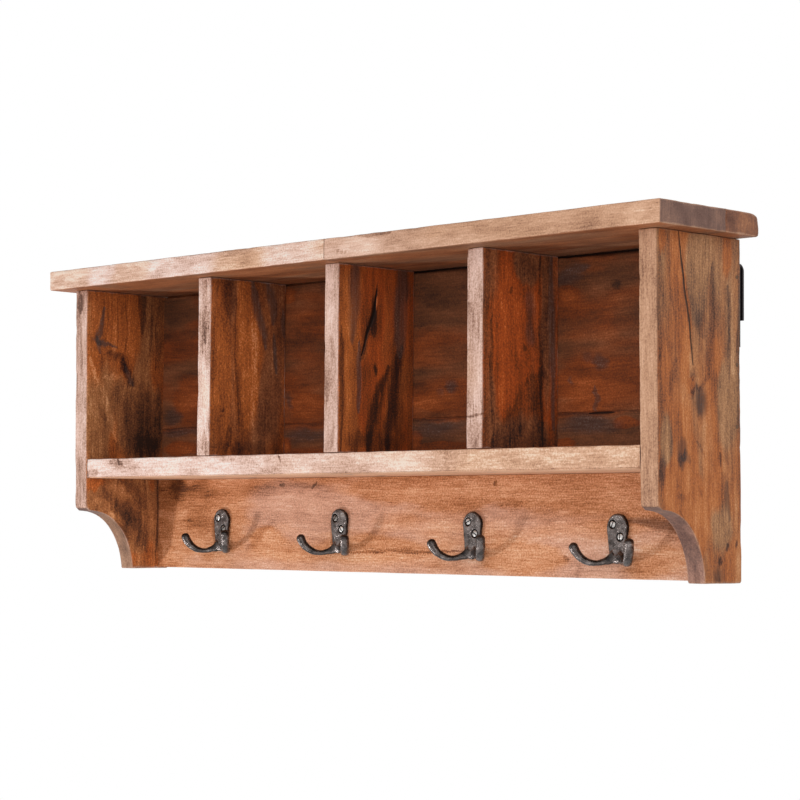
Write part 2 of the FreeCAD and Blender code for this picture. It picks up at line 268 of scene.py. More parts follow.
def coved(points, lean, fill):
    """Bends an upright block's lower front into the bracket foot.

    The lean moves the front's top, the front's foot and the back's foot, as on a board not cut true."""
    height = case_top - case_foot
    depth = case_back - case_front
    corner_start = panel_front_height - panel_corner_round
    down = case_top - points[:, 2]
    inward = points[:, 1] - case_front
    front_y, front_z = bracket_edge(down, corner_start, fill)
    fan = 0.62 * height
    low_fan = fan + (down - corner_start) * (height - fan) / (height - corner_start)
    back_z = case_top - np.where(down < corner_start, down * fan / corner_start, low_fan)
    row = np.hypot(case_back - front_y, back_z - front_z)
    middle = panel_rim + (inward - panel_rim) * (row - 2 * panel_rim) / (depth - 2 * panel_rim)
    rear = np.where(depth - inward < panel_rim, row - depth + inward, middle)
    reach = np.where(inward < panel_rim, inward, rear) / row
    bent = points.copy()
    bent[:, 1] = front_y + (case_back - front_y) * reach
    bent[:, 2] = front_z + (back_z - front_z) * reach
    fall = (case_top - bent[:, 2]) / height
    inside = (bent[:, 1] - case_front) / depth
    front_lean = lean[0] + (lean[1] - lean[0]) * fall
    bent[:, 1] += front_lean * (1 - inside) + lean[2] * soft_step(fall, 0.35, 1) * inside
    return bent


# Materials are built from short calls on a graph of nodes

class Field:
    """A number that varies over the surface: arithmetic on it adds Math nodes."""

    def __init__(self, graph, socket):
        self.graph = graph
        self.socket = socket

    def __add__(self, other):
        return self.graph.math("ADD", self, other)

    def __sub__(self, other):
        return self.graph.math("SUBTRACT", self, other)

    def __rsub__(self, other):
        return self.graph.math("SUBTRACT", other, self)

    def __mul__(self, other):
        return self.graph.math("MULTIPLY", self, other)

    def __truediv__(self, other):
        return self.graph.math("DIVIDE", self, other)

    def __neg__(self):
        return self * -1.0

    __radd__ = __add__
    __rmul__ = __mul__


class Graph:
    """The nodes of a material or another tree; an input takes a number, a colour, a socket or a Field."""

    def __init__(self, name, tree=None):
        if tree is None:
            self.material = bpy.data.materials.new(name)
            self.material.use_nodes = True
            tree = self.material.node_tree
            tree.nodes.clear()
        self.tree = tree

    def node(self, kind, inputs=(), **settings):
        made = self.tree.nodes.new(kind)
        for key, value in settings.items():
            setattr(made, key, value)
        for key, value in dict(inputs).items():
            self.feed(made.inputs[key], value)
        return made

    def feed(self, entry, value):
        """Links a socket or a Field to an input, or sets the input."""
        value = getattr(value, "socket", value)
        if isinstance(value, bpy.types.NodeSocket):
            self.tree.links.new(value, entry)
        else:
            entry.default_value = value

    def math(self, kind, a, b=0.0, clamp=False):
        made = self.node("ShaderNodeMath", {0: a, 1: b}, operation=kind, use_clamp=clamp)
        return Field(self, made.outputs[0])

    def use(self, group, *values):
        """The number that a node group works out from the values."""
        made = self.node("ShaderNodeGroup", dict(enumerate(values)), node_tree=group)
        return Field(self, made.outputs[0])

    def split(self, socket):
        made = self.node("ShaderNodeSeparateXYZ", {0: socket})
        return [Field(self, output) for output in made.outputs]

    def place(self):
        """The surface point's x, y and z in millimetres."""
        return [axis / mm for axis in self.split(self.node("ShaderNodeTexCoord").outputs["Object"])]

    def facing(self):
        """The x, y and z of the surface's outward direction."""
        return self.split(self.node("ShaderNodeTexCoord").outputs["Normal"])

    def value(self, name):
        return Field(self, self.node("ShaderNodeAttribute", attribute_name=name).outputs["Fac"])

    def step(self, value, start, end):
        """0 at start, 1 at end, with an easy curve between."""
        made = self.node("ShaderNodeMapRange", {"Value": value, "From Min": start, "From Max": end},
                         interpolation_type="SMOOTHSTEP")
        return Field(self, made.outputs["Result"])

    def length(self, a, b):
        return self.math("SQRT", a * a + b * b)

    def noise_outputs(self, x, y, z, detail, roughness):
        vector = self.node("ShaderNodeCombineXYZ", {0: x, 1: y, 2: z}).outputs[0]
        inputs = {"Vector": vector, "Scale": 1.0, "Detail": detail, "Roughness": roughness}
        return self.node("ShaderNodeTexNoise", inputs).outputs

    def noise(self, x, y, z, detail=2.0, roughness=0.5):
        """Noise around 0, mostly from -1 to 1, with lumps one unit across."""
        return (Field(self, self.noise_outputs(x, y, z, detail, roughness)["Fac"]) - 0.5) * 4.0

    def noise_pair(self, x, y, z):
        """Two noises around 0 that have nothing to do with each other."""
        colour = self.noise_outputs(x, y, z, 3.0, 0.55)["Color"]
        return [(axis - 0.5) * 4.0 for axis in self.split(colour)[:2]]

    def mottle(self, size, detail, roughness=0.5):
        """Noise with lumps of one size in millimetres every way."""
        x, y, z = self.place()
        return self.noise(x / size, y / size, z / size, detail, roughness)

    def ramp(self, value, stops):
        """A colour, or a grey where the stops hold plain numbers, picked along a scale."""
        made = self.node("ShaderNodeValToRGB", {"Fac": value})
        elements = made.color_ramp.elements
        while len(elements) < len(stops):
            elements.new(0.5)
        for element, (place, colour) in zip(elements, stops):
            element.position = place
            element.color = (colour,) * 3 + (1,) if isinstance(colour, float) else (*colour, 1)
        return made.outputs["Color"]

    def level(self, value, stops):
        return Field(self, self.node("ShaderNodeRGBToBW", {0: self.ramp(value, stops)}).outputs[0])

    def mix(self, share, a, b):
        a, b = ((*colour, 1) if isinstance(colour, tuple) else colour for colour in (a, b))
        made = self.node("ShaderNodeMix", {0: share, 6: a, 7: b}, data_type="RGBA", clamp_factor=True)
        return made.outputs[2]

    def finish(self, inputs, height, depth=0.0003):
        """Ends the graph in one shader, with bumps of the given depth in metres."""
        bump = self.node("ShaderNodeBump", {"Height": height, "Distance": depth, "Strength": 0.8})
        shader = self.node("ShaderNodeBsdfPrincipled", {**inputs, "Normal": bump.outputs[0]})
        self.node("ShaderNodeOutputMaterial", {"Surface": shader.outputs[0]})
        return self.material


# Wood colours from the darkest streaks to the palest wood: a place on that scale, then hundredths of
# red, green and blue on the screen
rich_warm = ((0.0, 14, 8, 7), (0.2, 27, 14, 8), (0.4, 38, 20, 10), (0.55, 47, 25, 12),
             (0.75, 57, 31, 14), (0.9, 64, 38, 21), (1.0, 72, 48, 32))
rich_brown = ((0.0, 13, 9, 8), (0.2, 26, 15, 10), (0.4, 36, 21, 13), (0.55, 43, 26, 16),
              (0.75, 52, 33, 21), (1.0, 67, 48, 35))
left_brown = ((0.0, 15, 10, 8), (0.2, 28, 17, 11), (0.4, 38, 23, 14), (0.55, 46, 29, 17),
              (0.75, 55, 36, 22), (1.0, 69, 51, 36))
rich_red = ((0.0, 14, 8, 6), (0.2, 26, 13, 7), (0.4, 37, 18, 8), (0.55, 46, 21, 9), (0.75, 55, 25, 10),
            (0.9, 61, 31, 14), (1.0, 68, 41, 25))
back_warm = ((0.0, 20, 11, 8), (0.25, 31, 16, 9), (0.5, 40, 20, 10), (0.75, 49, 25, 12), (1.0, 60, 33, 18))
back_brown = ((0.0, 20, 13, 10), (0.25, 29, 18, 12), (0.5, 36, 22, 14), (0.75, 43, 27, 18),
              (1.0, 54, 36, 25))
panel_orange = ((0.0, 28, 16, 11), (0.25, 50, 29, 18), (0.5, 64, 37, 20), (0.75, 72, 45, 26),
                (1.0, 80, 57, 40))
panel_tan = ((0.0, 27, 19, 15), (0.25, 45, 31, 23), (0.5, 59, 42, 29), (0.75, 70, 51, 36),
             (1.0, 82, 65, 50))
rail_orange = ((0.0, 34, 19, 11), (0.25, 57, 34, 19), (0.5, 72, 47, 31), (0.75, 83, 60, 45),
               (1.0, 94, 75, 62))
rail_pink = ((0.0, 40, 28, 22), (0.25, 62, 44, 35), (0.5, 75, 55, 45), (0.75, 84, 65, 55),
             (1.0, 95, 80, 72))
top_orange = ((0.0, 30, 17, 12), (0.3, 48, 29, 18), (0.6, 60, 37, 24), (1.0, 74, 52, 36))
top_brown = ((0.0, 28, 19, 15), (0.3, 44, 30, 22), (0.6, 54, 38, 28), (1.0, 70, 54, 42))
sanded_pink = ((0.0, 40, 28, 23), (0.2, 62, 47, 40), (0.4, 77, 62, 55), (0.6, 87, 73, 67),
               (0.8, 93, 81, 76), (1.0, 97, 89, 86))
sanded_tan = ((0.0, 42, 29, 22), (0.2, 62, 45, 35), (0.4, 74, 56, 44), (0.6, 81, 63, 51),
              (0.8, 88, 71, 59), (1.0, 95, 82, 72))
grey_end = ((0.0, 36, 26, 23), (0.35, 45, 34, 30), (0.65, 53, 40, 34), (1.0, 64, 50, 42))
brown_end = ((0.0, 36, 23, 18), (0.35, 48, 32, 25), (0.65, 58, 39, 28), (1.0, 70, 49, 36))
cove_grey = ((0.0, 30, 20, 18), (0.35, 46, 33, 28), (0.6, 58, 43, 37), (1.0, 78, 64, 57))
cove_tan = ((0.0, 30, 20, 15), (0.35, 47, 34, 26), (0.6, 57, 43, 34), (1.0, 74, 60, 50))
grey_stain = ((0.0, 11, 9, 9), (0.5, 26, 20, 18), (1.0, 46, 37, 33))


@dataclass
class Board:
    """How one board looks. Its knots, marks, cracks and clouds are placed from the photograph.

    Places are in millimetres, along the grain first. A mark or a crack is a half width, a softness, a
    change and a run of places. A cloud is a place, two half sizes and a change."""

    name: str
    seed: int
    grain: str  # the axis of the fibres
    breadth: str  # the other axis of the broad faces
    palettes: tuple  # warm wood and cool wood
    light: float  # the share of full light it gets in the photograph
    figure: dict  # how much each scale of figure shows
    stripe_span: tuple  # where its stripes start and end, across the grain
    stripes: tuple  # tones along that span
    wander: float = 7.0  # how far the fibres wander
    drift: float = 1.0  # how much they sway
    knots: tuple = ()  # a place, a size and a shade
    marks: tuple = ()
    dotted_marks: tuple = ()
    clouds: tuple = ()
    warm_clouds: tuple = ()  # toward the warm palette
    grey_marks: tuple = ()
    grey_clouds: tuple = ()
    # Splits; the near-black line along the upper back plank's top edge is a painted shadow under the top
    # board.
    cracks: tuple = ()
    one_face: bool = False  # marks and grey stains on the front only
    sanded_front: bool = True
    front_marks: tuple = ()  # on the sanded front, along the rack first
    pale: float = 0.6  # the tone of sanded wood
    pale_contrast: float = 1.0
    tan_span: tuple = (-250, 420)  # where sanded wood turns from pink to tan, along the rack
    end_palette: tuple = grey_end
    under_palette: tuple = None  # for an underside of another colour
    cove: tuple = None  # the palette of a side panel's hollow
    lean: tuple = ()  # how far the front's top, the front's foot and the back's foot are off
    fill: tuple = ()  # wood left half way down the hollow and at the foot
    edge: float = board_edge  # how round its edges are worn
    worn: bool = True  # pale on its edges
    rounds: tuple = ()  # two sides and the radius between them
    chips: tuple = ()  # a place, a reach and a depth
    grow: tuple = ()  # sides and how far they move outward
    lip: float = 0.0  # how high a strip stands on the rear of its top


def lit(palette, light):
    """A palette as surface colours, for wood that gets the given share of full light in the photograph."""
    stops = []
    for place, *colour in palette:
        linear = [((part / 100 + 0.055) / 1.055) ** 2.4 for part in colour]
        stops.append((place, tuple(min(part / light, 0.85) for part in linear)))
    return stops


def knot_fields(g, knots, spot):
    """How far the knots push the grain aside, and how much they darken it."""
    push = shade = 0.0
    for knot_along, knot_across, size, depth in knots:
        off = (spot[1] - knot_across) / size
        reach = g.length((spot[0] - knot_along) / (size * 1.8), off)
        near = g.math("EXPONENT", reach * reach * -0.4)
        push = push - off * near * (size * 1.1)
        rings = g.math("SINE", reach * 11.0) * near * 0.06
        shade = shade - g.step(reach, 1.1, 0.1) * depth + rings
    return push, shade


def shared_field(build):
    """A node group, for every material that needs it, with an input for each field the function takes."""
    _, *inputs = inspect.signature(build).parameters
    tree = bpy.data.node_groups.new(build.__name__, "ShaderNodeTree")
    for key in inputs:
        tree.interface.new_socket(key, in_out="INPUT", socket_type="NodeSocketFloat")
    tree.interface.new_socket("result", in_out="OUTPUT", socket_type="NodeSocketFloat")
    g = Graph(build.__name__, tree)
    entries = g.node("NodeGroupInput").outputs[:len(inputs)]
    g.node("NodeGroupOutput", {0: build(g, *(Field(g, entry) for entry in entries))})
    return tree


def leg_cover(g, along, across, ragged, start_along, start_across, run_along, run_across, begun, share,
              half_width, soft):
    """How much one leg of a mark covers a place; the whole mark is thin at both ends."""
    off_along, off_across = along - start_along, across - start_across
    length_squared = run_along * run_along + run_across * run_across
    reach = (off_along * run_along + off_across * run_across) / length_squared
    reach = g.math("ADD", reach, 0.0, clamp=True)
    away = g.length(off_along - reach * run_along, off_across - reach * run_across)
    part = reach * share + begun
    width = (part * (1.0 - part) * 2.6 + 0.35) * half_width
    return g.step(away / width + ragged * 0.35, soft + 1.0, 1.0 - soft)


def cloud_cover(g, along, across, ragged, middle_along, middle_across, half_length, half_width):
    """How much a soft patch covers a place."""
    away = g.length((along - middle_along) / half_length, (across - middle_across) / half_width)
    return g.step(away + ragged * 0.3, 1.25, 0.35)


leg_group = shared_field(leg_cover)
cloud_group = shared_field(cloud_cover)


def mark_field(g, marks, spot, ragged):
    """The sum of listed streaks and splits."""
    total = 0.0
    for half_width, soft, change, places in marks:
        lengths = [math.dist(start, end) for start, end in zip(places, places[1:])]
        begun = cover = 0.0
        for (a0, c0), (a1, c1), length in zip(places, places[1:], lengths):
            share = length / sum(lengths)
            leg = g.use(leg_group, *spot, ragged, a0, c0, a1 - a0, c1 - c0, begun, share, half_width, soft)
            cover = g.math("MAXIMUM", cover, leg)
            begun += share
        total = total + cover * change
    return total


def cloud_field(g, clouds, spot, ragged):
    """The sum of listed soft patches."""
    total = 0.0
    for along, across, half_length, half_width, change in clouds:
        total = total + g.use(cloud_group, *spot, ragged, along, across, half_length, half_width) * change
    return total


class Grain:
    """Where a point lies in a board, and the noises that follow the board's fibres there."""

    def __init__(self, g, board):
        self.places = dict(zip("xyz", g.place()))
        self.facing = dict(zip("xyz", g.facing()))
        grain, breadth = board.grain, board.breadth
        thickness = ({"x", "y", "z"} - {grain, breadth}).pop()
        self.along, self.across, self.through = (self.places[axis] for axis in (grain, breadth, thickness))
        self.seed = board.seed * 13.7
        self.shown = g.step(self.facing["y"], 0.3, -0.3) if board.one_face else 1.0
        self.follow_fibres(g, board)
        self.add_noises(g)

    def follow_fibres(self, g, board):
        """Bends the straight board's places to the wandering fibres and round the knots."""
        along, across, through, seed = self.along, self.across, self.through, self.seed
        self.drift = g.noise_pair(along / 42 + seed, across / 15, through / 18)
        self.spot = (along + self.drift[0] * 7.0, across + self.drift[1] * 2.2)
        wander = g.noise(along / 330 + seed, across / 85 + seed, through / 60, detail=1.0)
        push, self.knot_shade = knot_fields(g, board.knots, self.spot)
        sway = self.drift[1] * 1.5 * board.drift
        self.flow = across + wander * board.wander + sway + push

    def add_noises(self, g):
        along, across, through, seed, flow = self.along, self.across, self.through, self.seed, self.flow
        x, y, z = self.places.values()
        self.broad = g.noise(along / 260 + seed, flow / 9.0, through / 12 + seed, detail=4.0, roughness=0.6)
        self.medium = g.noise(along / 50 + seed, flow / 2.6, through / 4, detail=3.0, roughness=0.6)
        self.fine = g.noise(along / 20 + seed, flow / 1.1, through / 1.4, detail=2.0)
        self.grit = g.noise(x / 1.7 + seed, y / 1.7, z / 1.7, detail=2.0, roughness=0.55)
        self.smoke = g.noise(along / 70 + seed, across / 26, through / 30, detail=5.0, roughness=0.62)
        self.pores = g.step(g.noise(along / 6.0 + seed, flow / 0.9, through / 0.9, detail=1.0), 0.5, 1.2)
        streaks = g.noise(along / 300 + seed, flow / 11.0 + seed, through / 14, detail=3.0)
        self.streaks = g.step(streaks, 0.5, 1.0)


def heart_tone(g, grain, board):
    """How dark or pale the board's own wood is: stripes, figure, knots, marks and clouds."""
    low, high = board.stripe_span
    tone = g.level((grain.flow - low) / (high - low), board.stripes)
    figure = sum(getattr(grain, key) * weight for key, weight in board.figure.items())
    marks = mark_field(g, board.marks, grain.spot, grain.medium) * (0.85 + grain.smoke * 0.3)
    marks = marks + mark_field(g, board.dotted_marks, grain.spot, grain.grit * 1.8)
    clouds = cloud_field(g, board.clouds, grain.spot, grain.smoke)
    return tone + figure + grain.knot_shade + marks * grain.shown + clouds


def heart_colour(g, grain, board, tone, warmth):
    """The board's own colour: between its two palettes, with grey stains."""
    light = board.light
    warm, cool = (g.ramp(tone, lit(palette, light)) for palette in board.palettes)
    colour = g.mix(g.step(warmth, -0.7, 0.5), cool, warm)
    uneven = grain.medium * 0.6
    grey = cloud_field(g, board.grey_clouds, grain.spot, grain.smoke + uneven)
    grey = grey + mark_field(g, board.grey_marks, grain.spot, grain.smoke * 0.6 + uneven)
    grey = grey * (1.0 + grain.grit * 0.45) * grain.shown
    stain = g.ramp(0.4 + grain.medium * 0.24 + grain.grit * 0.3, lit(grey_stain, light))
    return g.mix(grey, colour, stain)


def end_colour(g, grain, board):
    """The colour of a sawn end."""
    saw = g.noise(grain.across / 1.8 + grain.seed, grain.through / 26, grain.along / 26, detail=2.0)
    tone = 0.37 + saw * 0.13 + grain.grit * 0.2 + grain.smoke * 0.42
    return g.ramp(tone, lit(board.end_palette, 0.9))


def sanded_colour(g, grain, board, warmth):
    """The pale colour of a sanded front, pink at the rack's left and tan at its right."""
    figure = grain.smoke * 0.32 + grain.medium * 0.14 + grain.fine * 0.16 + grain.grit * 0.22
    tone = board.pale + (figure - grain.pores * 0.2) * board.pale_contrast
    x, z = grain.places["x"], grain.places["z"]
    spot = (x + grain.drift[0] * 2.0, z + grain.drift[1] * 1.5)
    tone = tone + mark_field(g, board.front_marks, spot, grain.medium)
    pink, tan = (g.ramp(tone, lit(palette, 1.0)) for palette in (sanded_pink, sanded_tan))
    tan_share = g.step(x + warmth * 90, *board.tan_span)
    tan_share = tan_share + g.step(warmth + grain.smoke * 0.5, 0.1, 1.3) * 0.6
    return g.mix(tan_share, pink, tan)


def cove_cover(g, grain):
    """How much a place belongs to the sawn hollow of a side panel."""
    below = g.step(-grain.places["z"] + grain.smoke * 1.5, 195.0, 200.0)
    edgewise = g.step(g.math("ABSOLUTE", grain.facing["x"]), 0.8, 0.55)
    return below * edgewise * g.step(grain.facing["y"], 0.6, 0.3)


def cove_colour(g, grain, palette):
    """The colour of the sawn hollow, paler at the foot."""
    foot = g.step(-grain.places["z"] + grain.smoke * 8, 222, 252)
    tone = 0.3 + grain.smoke * 0.34 + grain.medium * 0.12 + grain.grit * 0.18 + foot * 0.35
    return g.ramp(tone, lit(palette, 0.8))


def wood(name, board):
    """One board's wood: grain, knots, stains and splits, with sanded fronts and worn edges."""
    g = Graph(name)
    grain = Grain(g, board)
    grit = grain.grit
    warmth = g.noise(grain.along / 150, grain.across / 36 + grain.seed, grain.through / 40, detail=2.0)
    warmth = warmth + cloud_field(g, board.warm_clouds, grain.spot, grain.smoke)
    tone = heart_tone(g, grain, board)
    colour = heart_colour(g, grain, board, tone, warmth)
    ends = g.step(g.math("ABSOLUTE", grain.facing[board.grain]), 0.45, 0.7)
    colour = g.mix(ends, colour, end_colour(g, grain, board))
    pale = sanded_colour(g, grain, board, warmth)
    if board.sanded_front:
        colour = g.mix(g.step(-grain.facing["y"] + grit * 0.05, 0.72, 0.9), colour, pale)
    if board.under_palette:
        under_colour = g.ramp(tone, lit(board.under_palette, 0.85))
        colour = g.mix(g.step(-grain.facing["z"] + grit * 0.05, 0.6, 0.9), colour, under_colour)
    if board.cove:
        colour = g.mix(cove_cover(g, grain), colour, cove_colour(g, grain, board.cove))
    if board.worn:
        edge = g.value("edge_mm") + grit * 0.9 + grain.drift[1] * 0.9
        colour = g.mix(g.step(edge, 1.9, 0.2) * 0.5, colour, pale)
    # Cracks are near black with a groove; on the upper back plank the line along its top edge is a painted
    # shadow.
    split_spot = (grain.along + grain.drift[0] * 1.5, grain.across + grain.drift[1] * 0.7)
    split = mark_field(g, board.cracks, split_spot, grain.medium * 0.5)
    colour = g.mix(split, colour, (0.010, 0.006, 0.005))
    height = grain.medium * 0.2 + grain.fine * 0.3 + grit * 0.25 - grain.pores * 0.5 - split * 4.0
    roughness = 0.56 + grit * 0.06 - grain.broad * 0.04
    return g.finish({"Base Color": colour, "Roughness": roughness, "Specular IOR Level": 0.18}, height)


# How much each scale of figure shows: smoky heartwood, the back's stains, the rail's short even grain and
# the right panel's soft patches
heart_figure = dict(broad=0.15, medium=0.08, fine=0.08, grit=0.24, smoke=0.24, streaks=-0.1, pores=-0.14)
back_figure = dict(broad=0.12, medium=0.1, fine=0.09, grit=0.22, smoke=0.34, pores=-0.1)
rail_figure = dict(broad=0.1, medium=0.08, fine=0.18, grit=0.26, smoke=0.2, pores=-0.22)
panel_figure = dict(broad=0.2, medium=0.12, fine=0.12, grit=0.22, smoke=0.32, streaks=-0.1, pores=-0.14)


def plain_stripes(level):
    return ((0.0, level), (0.3, level + 0.05), (0.7, level - 0.04), (1.0, level))


# Sides of a block, as an axis and its low or high end, and the small round of an edge glued to another
left_end, right_end, front, back, under, upper = (0, 0), (0, 1), (1, 0), (1, 1), (2, 0), (2, 1)
glued = 0.35
square_left = tuple((left_end, side, glued) for side in (front, under, upper))
square_right = tuple((right_end, side, glued) for side in (front, under, upper))
square_back = ((back, upper, glued), (back, under, glued))

# How far the ends of a board run into the panels beside it
tucked_ends = ((left_end, 0.6), (right_end, 0.6))

# Where sanded fronts turn from pink to tan, along the rack
never_tan, all_tan = (2000, 3000), (-900, -800)

# What boards of one kind share
top_plank = dict(grain="x", breadth="y", palettes=(top_orange, top_brown), light=0.82, edge=2.0,
                 figure=heart_figure)
divider = dict(grain="z", breadth="y", light=0.53, figure=heart_figure, stripe_span=(-127, -17),
               wander=2.5, tan_span=never_tan)
back_plank = dict(grain="x", breadth="z", palettes=(back_warm, back_brown), figure=back_figure,
                  sanded_front=False, edge=0.8, worn=False)

top_front_left_plank = Board(
    "top_front_left_plank", **top_plank, seed=1, pale=0.7, pale_contrast=1.2, stripe_span=(-152, -56),
    stripes=plain_stripes(0.52), rounds=(*square_back, *square_right),
    warm_clouds=((-418, -150, 46, 60, 2.4), (-300, -150, 40, 60, 1.6), (-120, -150, 50, 60, 1.4)),
    front_marks=(
        (8, 0.7, -0.2, ((-255, 66), (-232, 75))), (6, 0.7, -0.14, ((-218, 70), (-192, 69))),
        (12, 0.9, 0.18, ((-215, 69), (-150, 70))), (12, 0.9, 0.12, ((-95, 69), (-55, 69))),
        (5, 0.7, -0.2, ((-442, 66), (-422, 70))), (9, 0.7, -0.14, ((-350, 68), (-300, 70))),
    ),
)

top_front_right_plank = Board(
    "top_front_right_plank", **top_plank, seed=2, pale=0.56, pale_contrast=0.85, stripe_span=(-152, -56),
    stripes=plain_stripes(0.5), tan_span=(-300, 300), rounds=(*square_back, *square_left),
    chips=(
        ((75, -151.5, 80), 12, 1.6), ((98, -151.5, 80), 8, 1.2), ((450, -120, 80), 10, 1.4),
        ((450, -80, 80), 8, 1.2),
    ),
    front_marks=(
        (10, 0.9, 0.12, ((40, 69), (100, 69))), (14, 0.9, -0.14, ((230, 69), (380, 69))),
        (1.8, 0.8, -0.26, ((35, 63), (37, 67))), (1.8, 0.8, -0.26, ((41, 62.5), (42, 66.5))),
        (1.6, 0.8, -0.22, ((46, 62), (47, 65.5))), (3, 0.7, -0.3, ((66, 79), (112, 78))),
        (5, 0.7, -0.12, ((430, 62), (447, 78))),
    ),
)

top_rear_plank = Board(
    "top_rear_plank", **top_plank, seed=3, sanded_front=False, stripe_span=(-57, -7),
    stripes=plain_stripes(0.48), end_palette=brown_end, clouds=((270, -36, 70, 26, 0.12),),
    rounds=((front, upper, glued), (front, under, glued), (back, upper, 8.0), (back, under, 3.0)),
)

left_side_panel = Board(
    "left_side_panel", seed=4, grain="z", breadth="y", palettes=(rich_warm, left_brown), light=0.53,
    cove=cove_tan, lean=(-3.6, -0.3, 0.0), fill=(3.0, 1.2), pale=0.42, stripe_span=(-127, -7),
    tan_span=never_tan, figure=heart_figure,
    stripes=((0.0, 0.64), (0.3, 0.62), (0.55, 0.6), (0.8, 0.54), (1.0, 0.5)),
    knots=((-27, -76, 7, 0.3), (-196, -70, 15, 0.0)),
    marks=(
        (1.2, 0.7, -0.22, ((56, -100), (20, -100), (9, -103))),
        (1.2, 0.7, -0.22, ((57, -87), (18, -85), (-7, -86))),
        (1.4, 0.7, -0.25, ((46, -75), (11, -71), (-12, -75))),
        (1.6, 0.7, -0.28, ((49, -36), (13, -35), (-18, -41))), (1.2, 0.7, -0.3, ((28, -29), (-30, -29))),
        (6, 0.35, -0.36, ((72, -50), (38, -48), (16, -48))),
        (5, 0.6, -0.3, ((-14, -98), (-19, -80), (-30, -73))), (6.5, 0.6, -0.36, ((-28, -73), (-47, -60))),
        (3.0, 0.5, 0.22, ((-42, -106), (-38, -70))),
        (6, 0.6, 0.26, ((-20, -124), (-65, -105), (-93, -92), (-115, -87))),
        (4.5, 0.6, -0.2, ((-45, -115), (-68, -109), (-92, -102))),
        (7, 0.95, -0.2, ((-170, -100), (-186, -84), (-200, -62), (-218, -42), (-240, -38))),
        (6, 0.95, -0.24, ((-158, -78), (-170, -54), (-190, -42))),
        (5, 0.7, 0.2, ((-180, -114), (-196, -89), (-212, -72))),
        (1.2, 0.6, -0.3, ((-160, -24), (-258, -24))),
    ),
    grey_marks=(
        (3.6, 0.6, 0.75, ((36, -105), (15, -110), (7, -115), (-1, -105), (-6, -87))),
        (2.6, 0.6, 0.6, ((10, -114), (-12, -110))), (3, 0.6, 0.5, ((-28, -72), (-48, -60))),
    ),
    clouds=(
        (-96, -47, 46, 40, -0.36), (-119, -50, 18, 40, -0.24), (18, -72, 46, 22, 0.1),
        (38, -24, 46, 10, -0.08), (-21, -72, 12, 12, -0.1), (-208, -56, 26, 30, -0.16),
        (-173, -85, 12, 16, 0.16), (-227, -48, 10, 10, -0.15), (-248, -48, 10, 14, 0.1),
        (-162, -114, 10, 12, 0.1), (-38, -96, 16, 14, 0.18), (-181, -97, 16, 16, -0.16),
        (-204, -78, 14, 16, -0.18), (-205, -20, 60, 13, -0.12),
    ),
    warm_clouds=(
        (20, -78, 52, 30, 1.2), (-91, -109, 60, 20, -1.2), (-90, -48, 52, 40, -2.0),
        (-21, -72, 14, 14, 1.5), (-198, -70, 40, 60, -2.6), (-250, -48, 12, 20, 0.3),
        (-205, -20, 54, 14, -2.0), (-162, -114, 10, 12, 1.6),
    ),
    front_marks=((5, 0.7, -0.34, ((-420, 57), (-419, 33))), (3, 0.7, -0.16, ((-417, 22), (-417, -34)))),
)

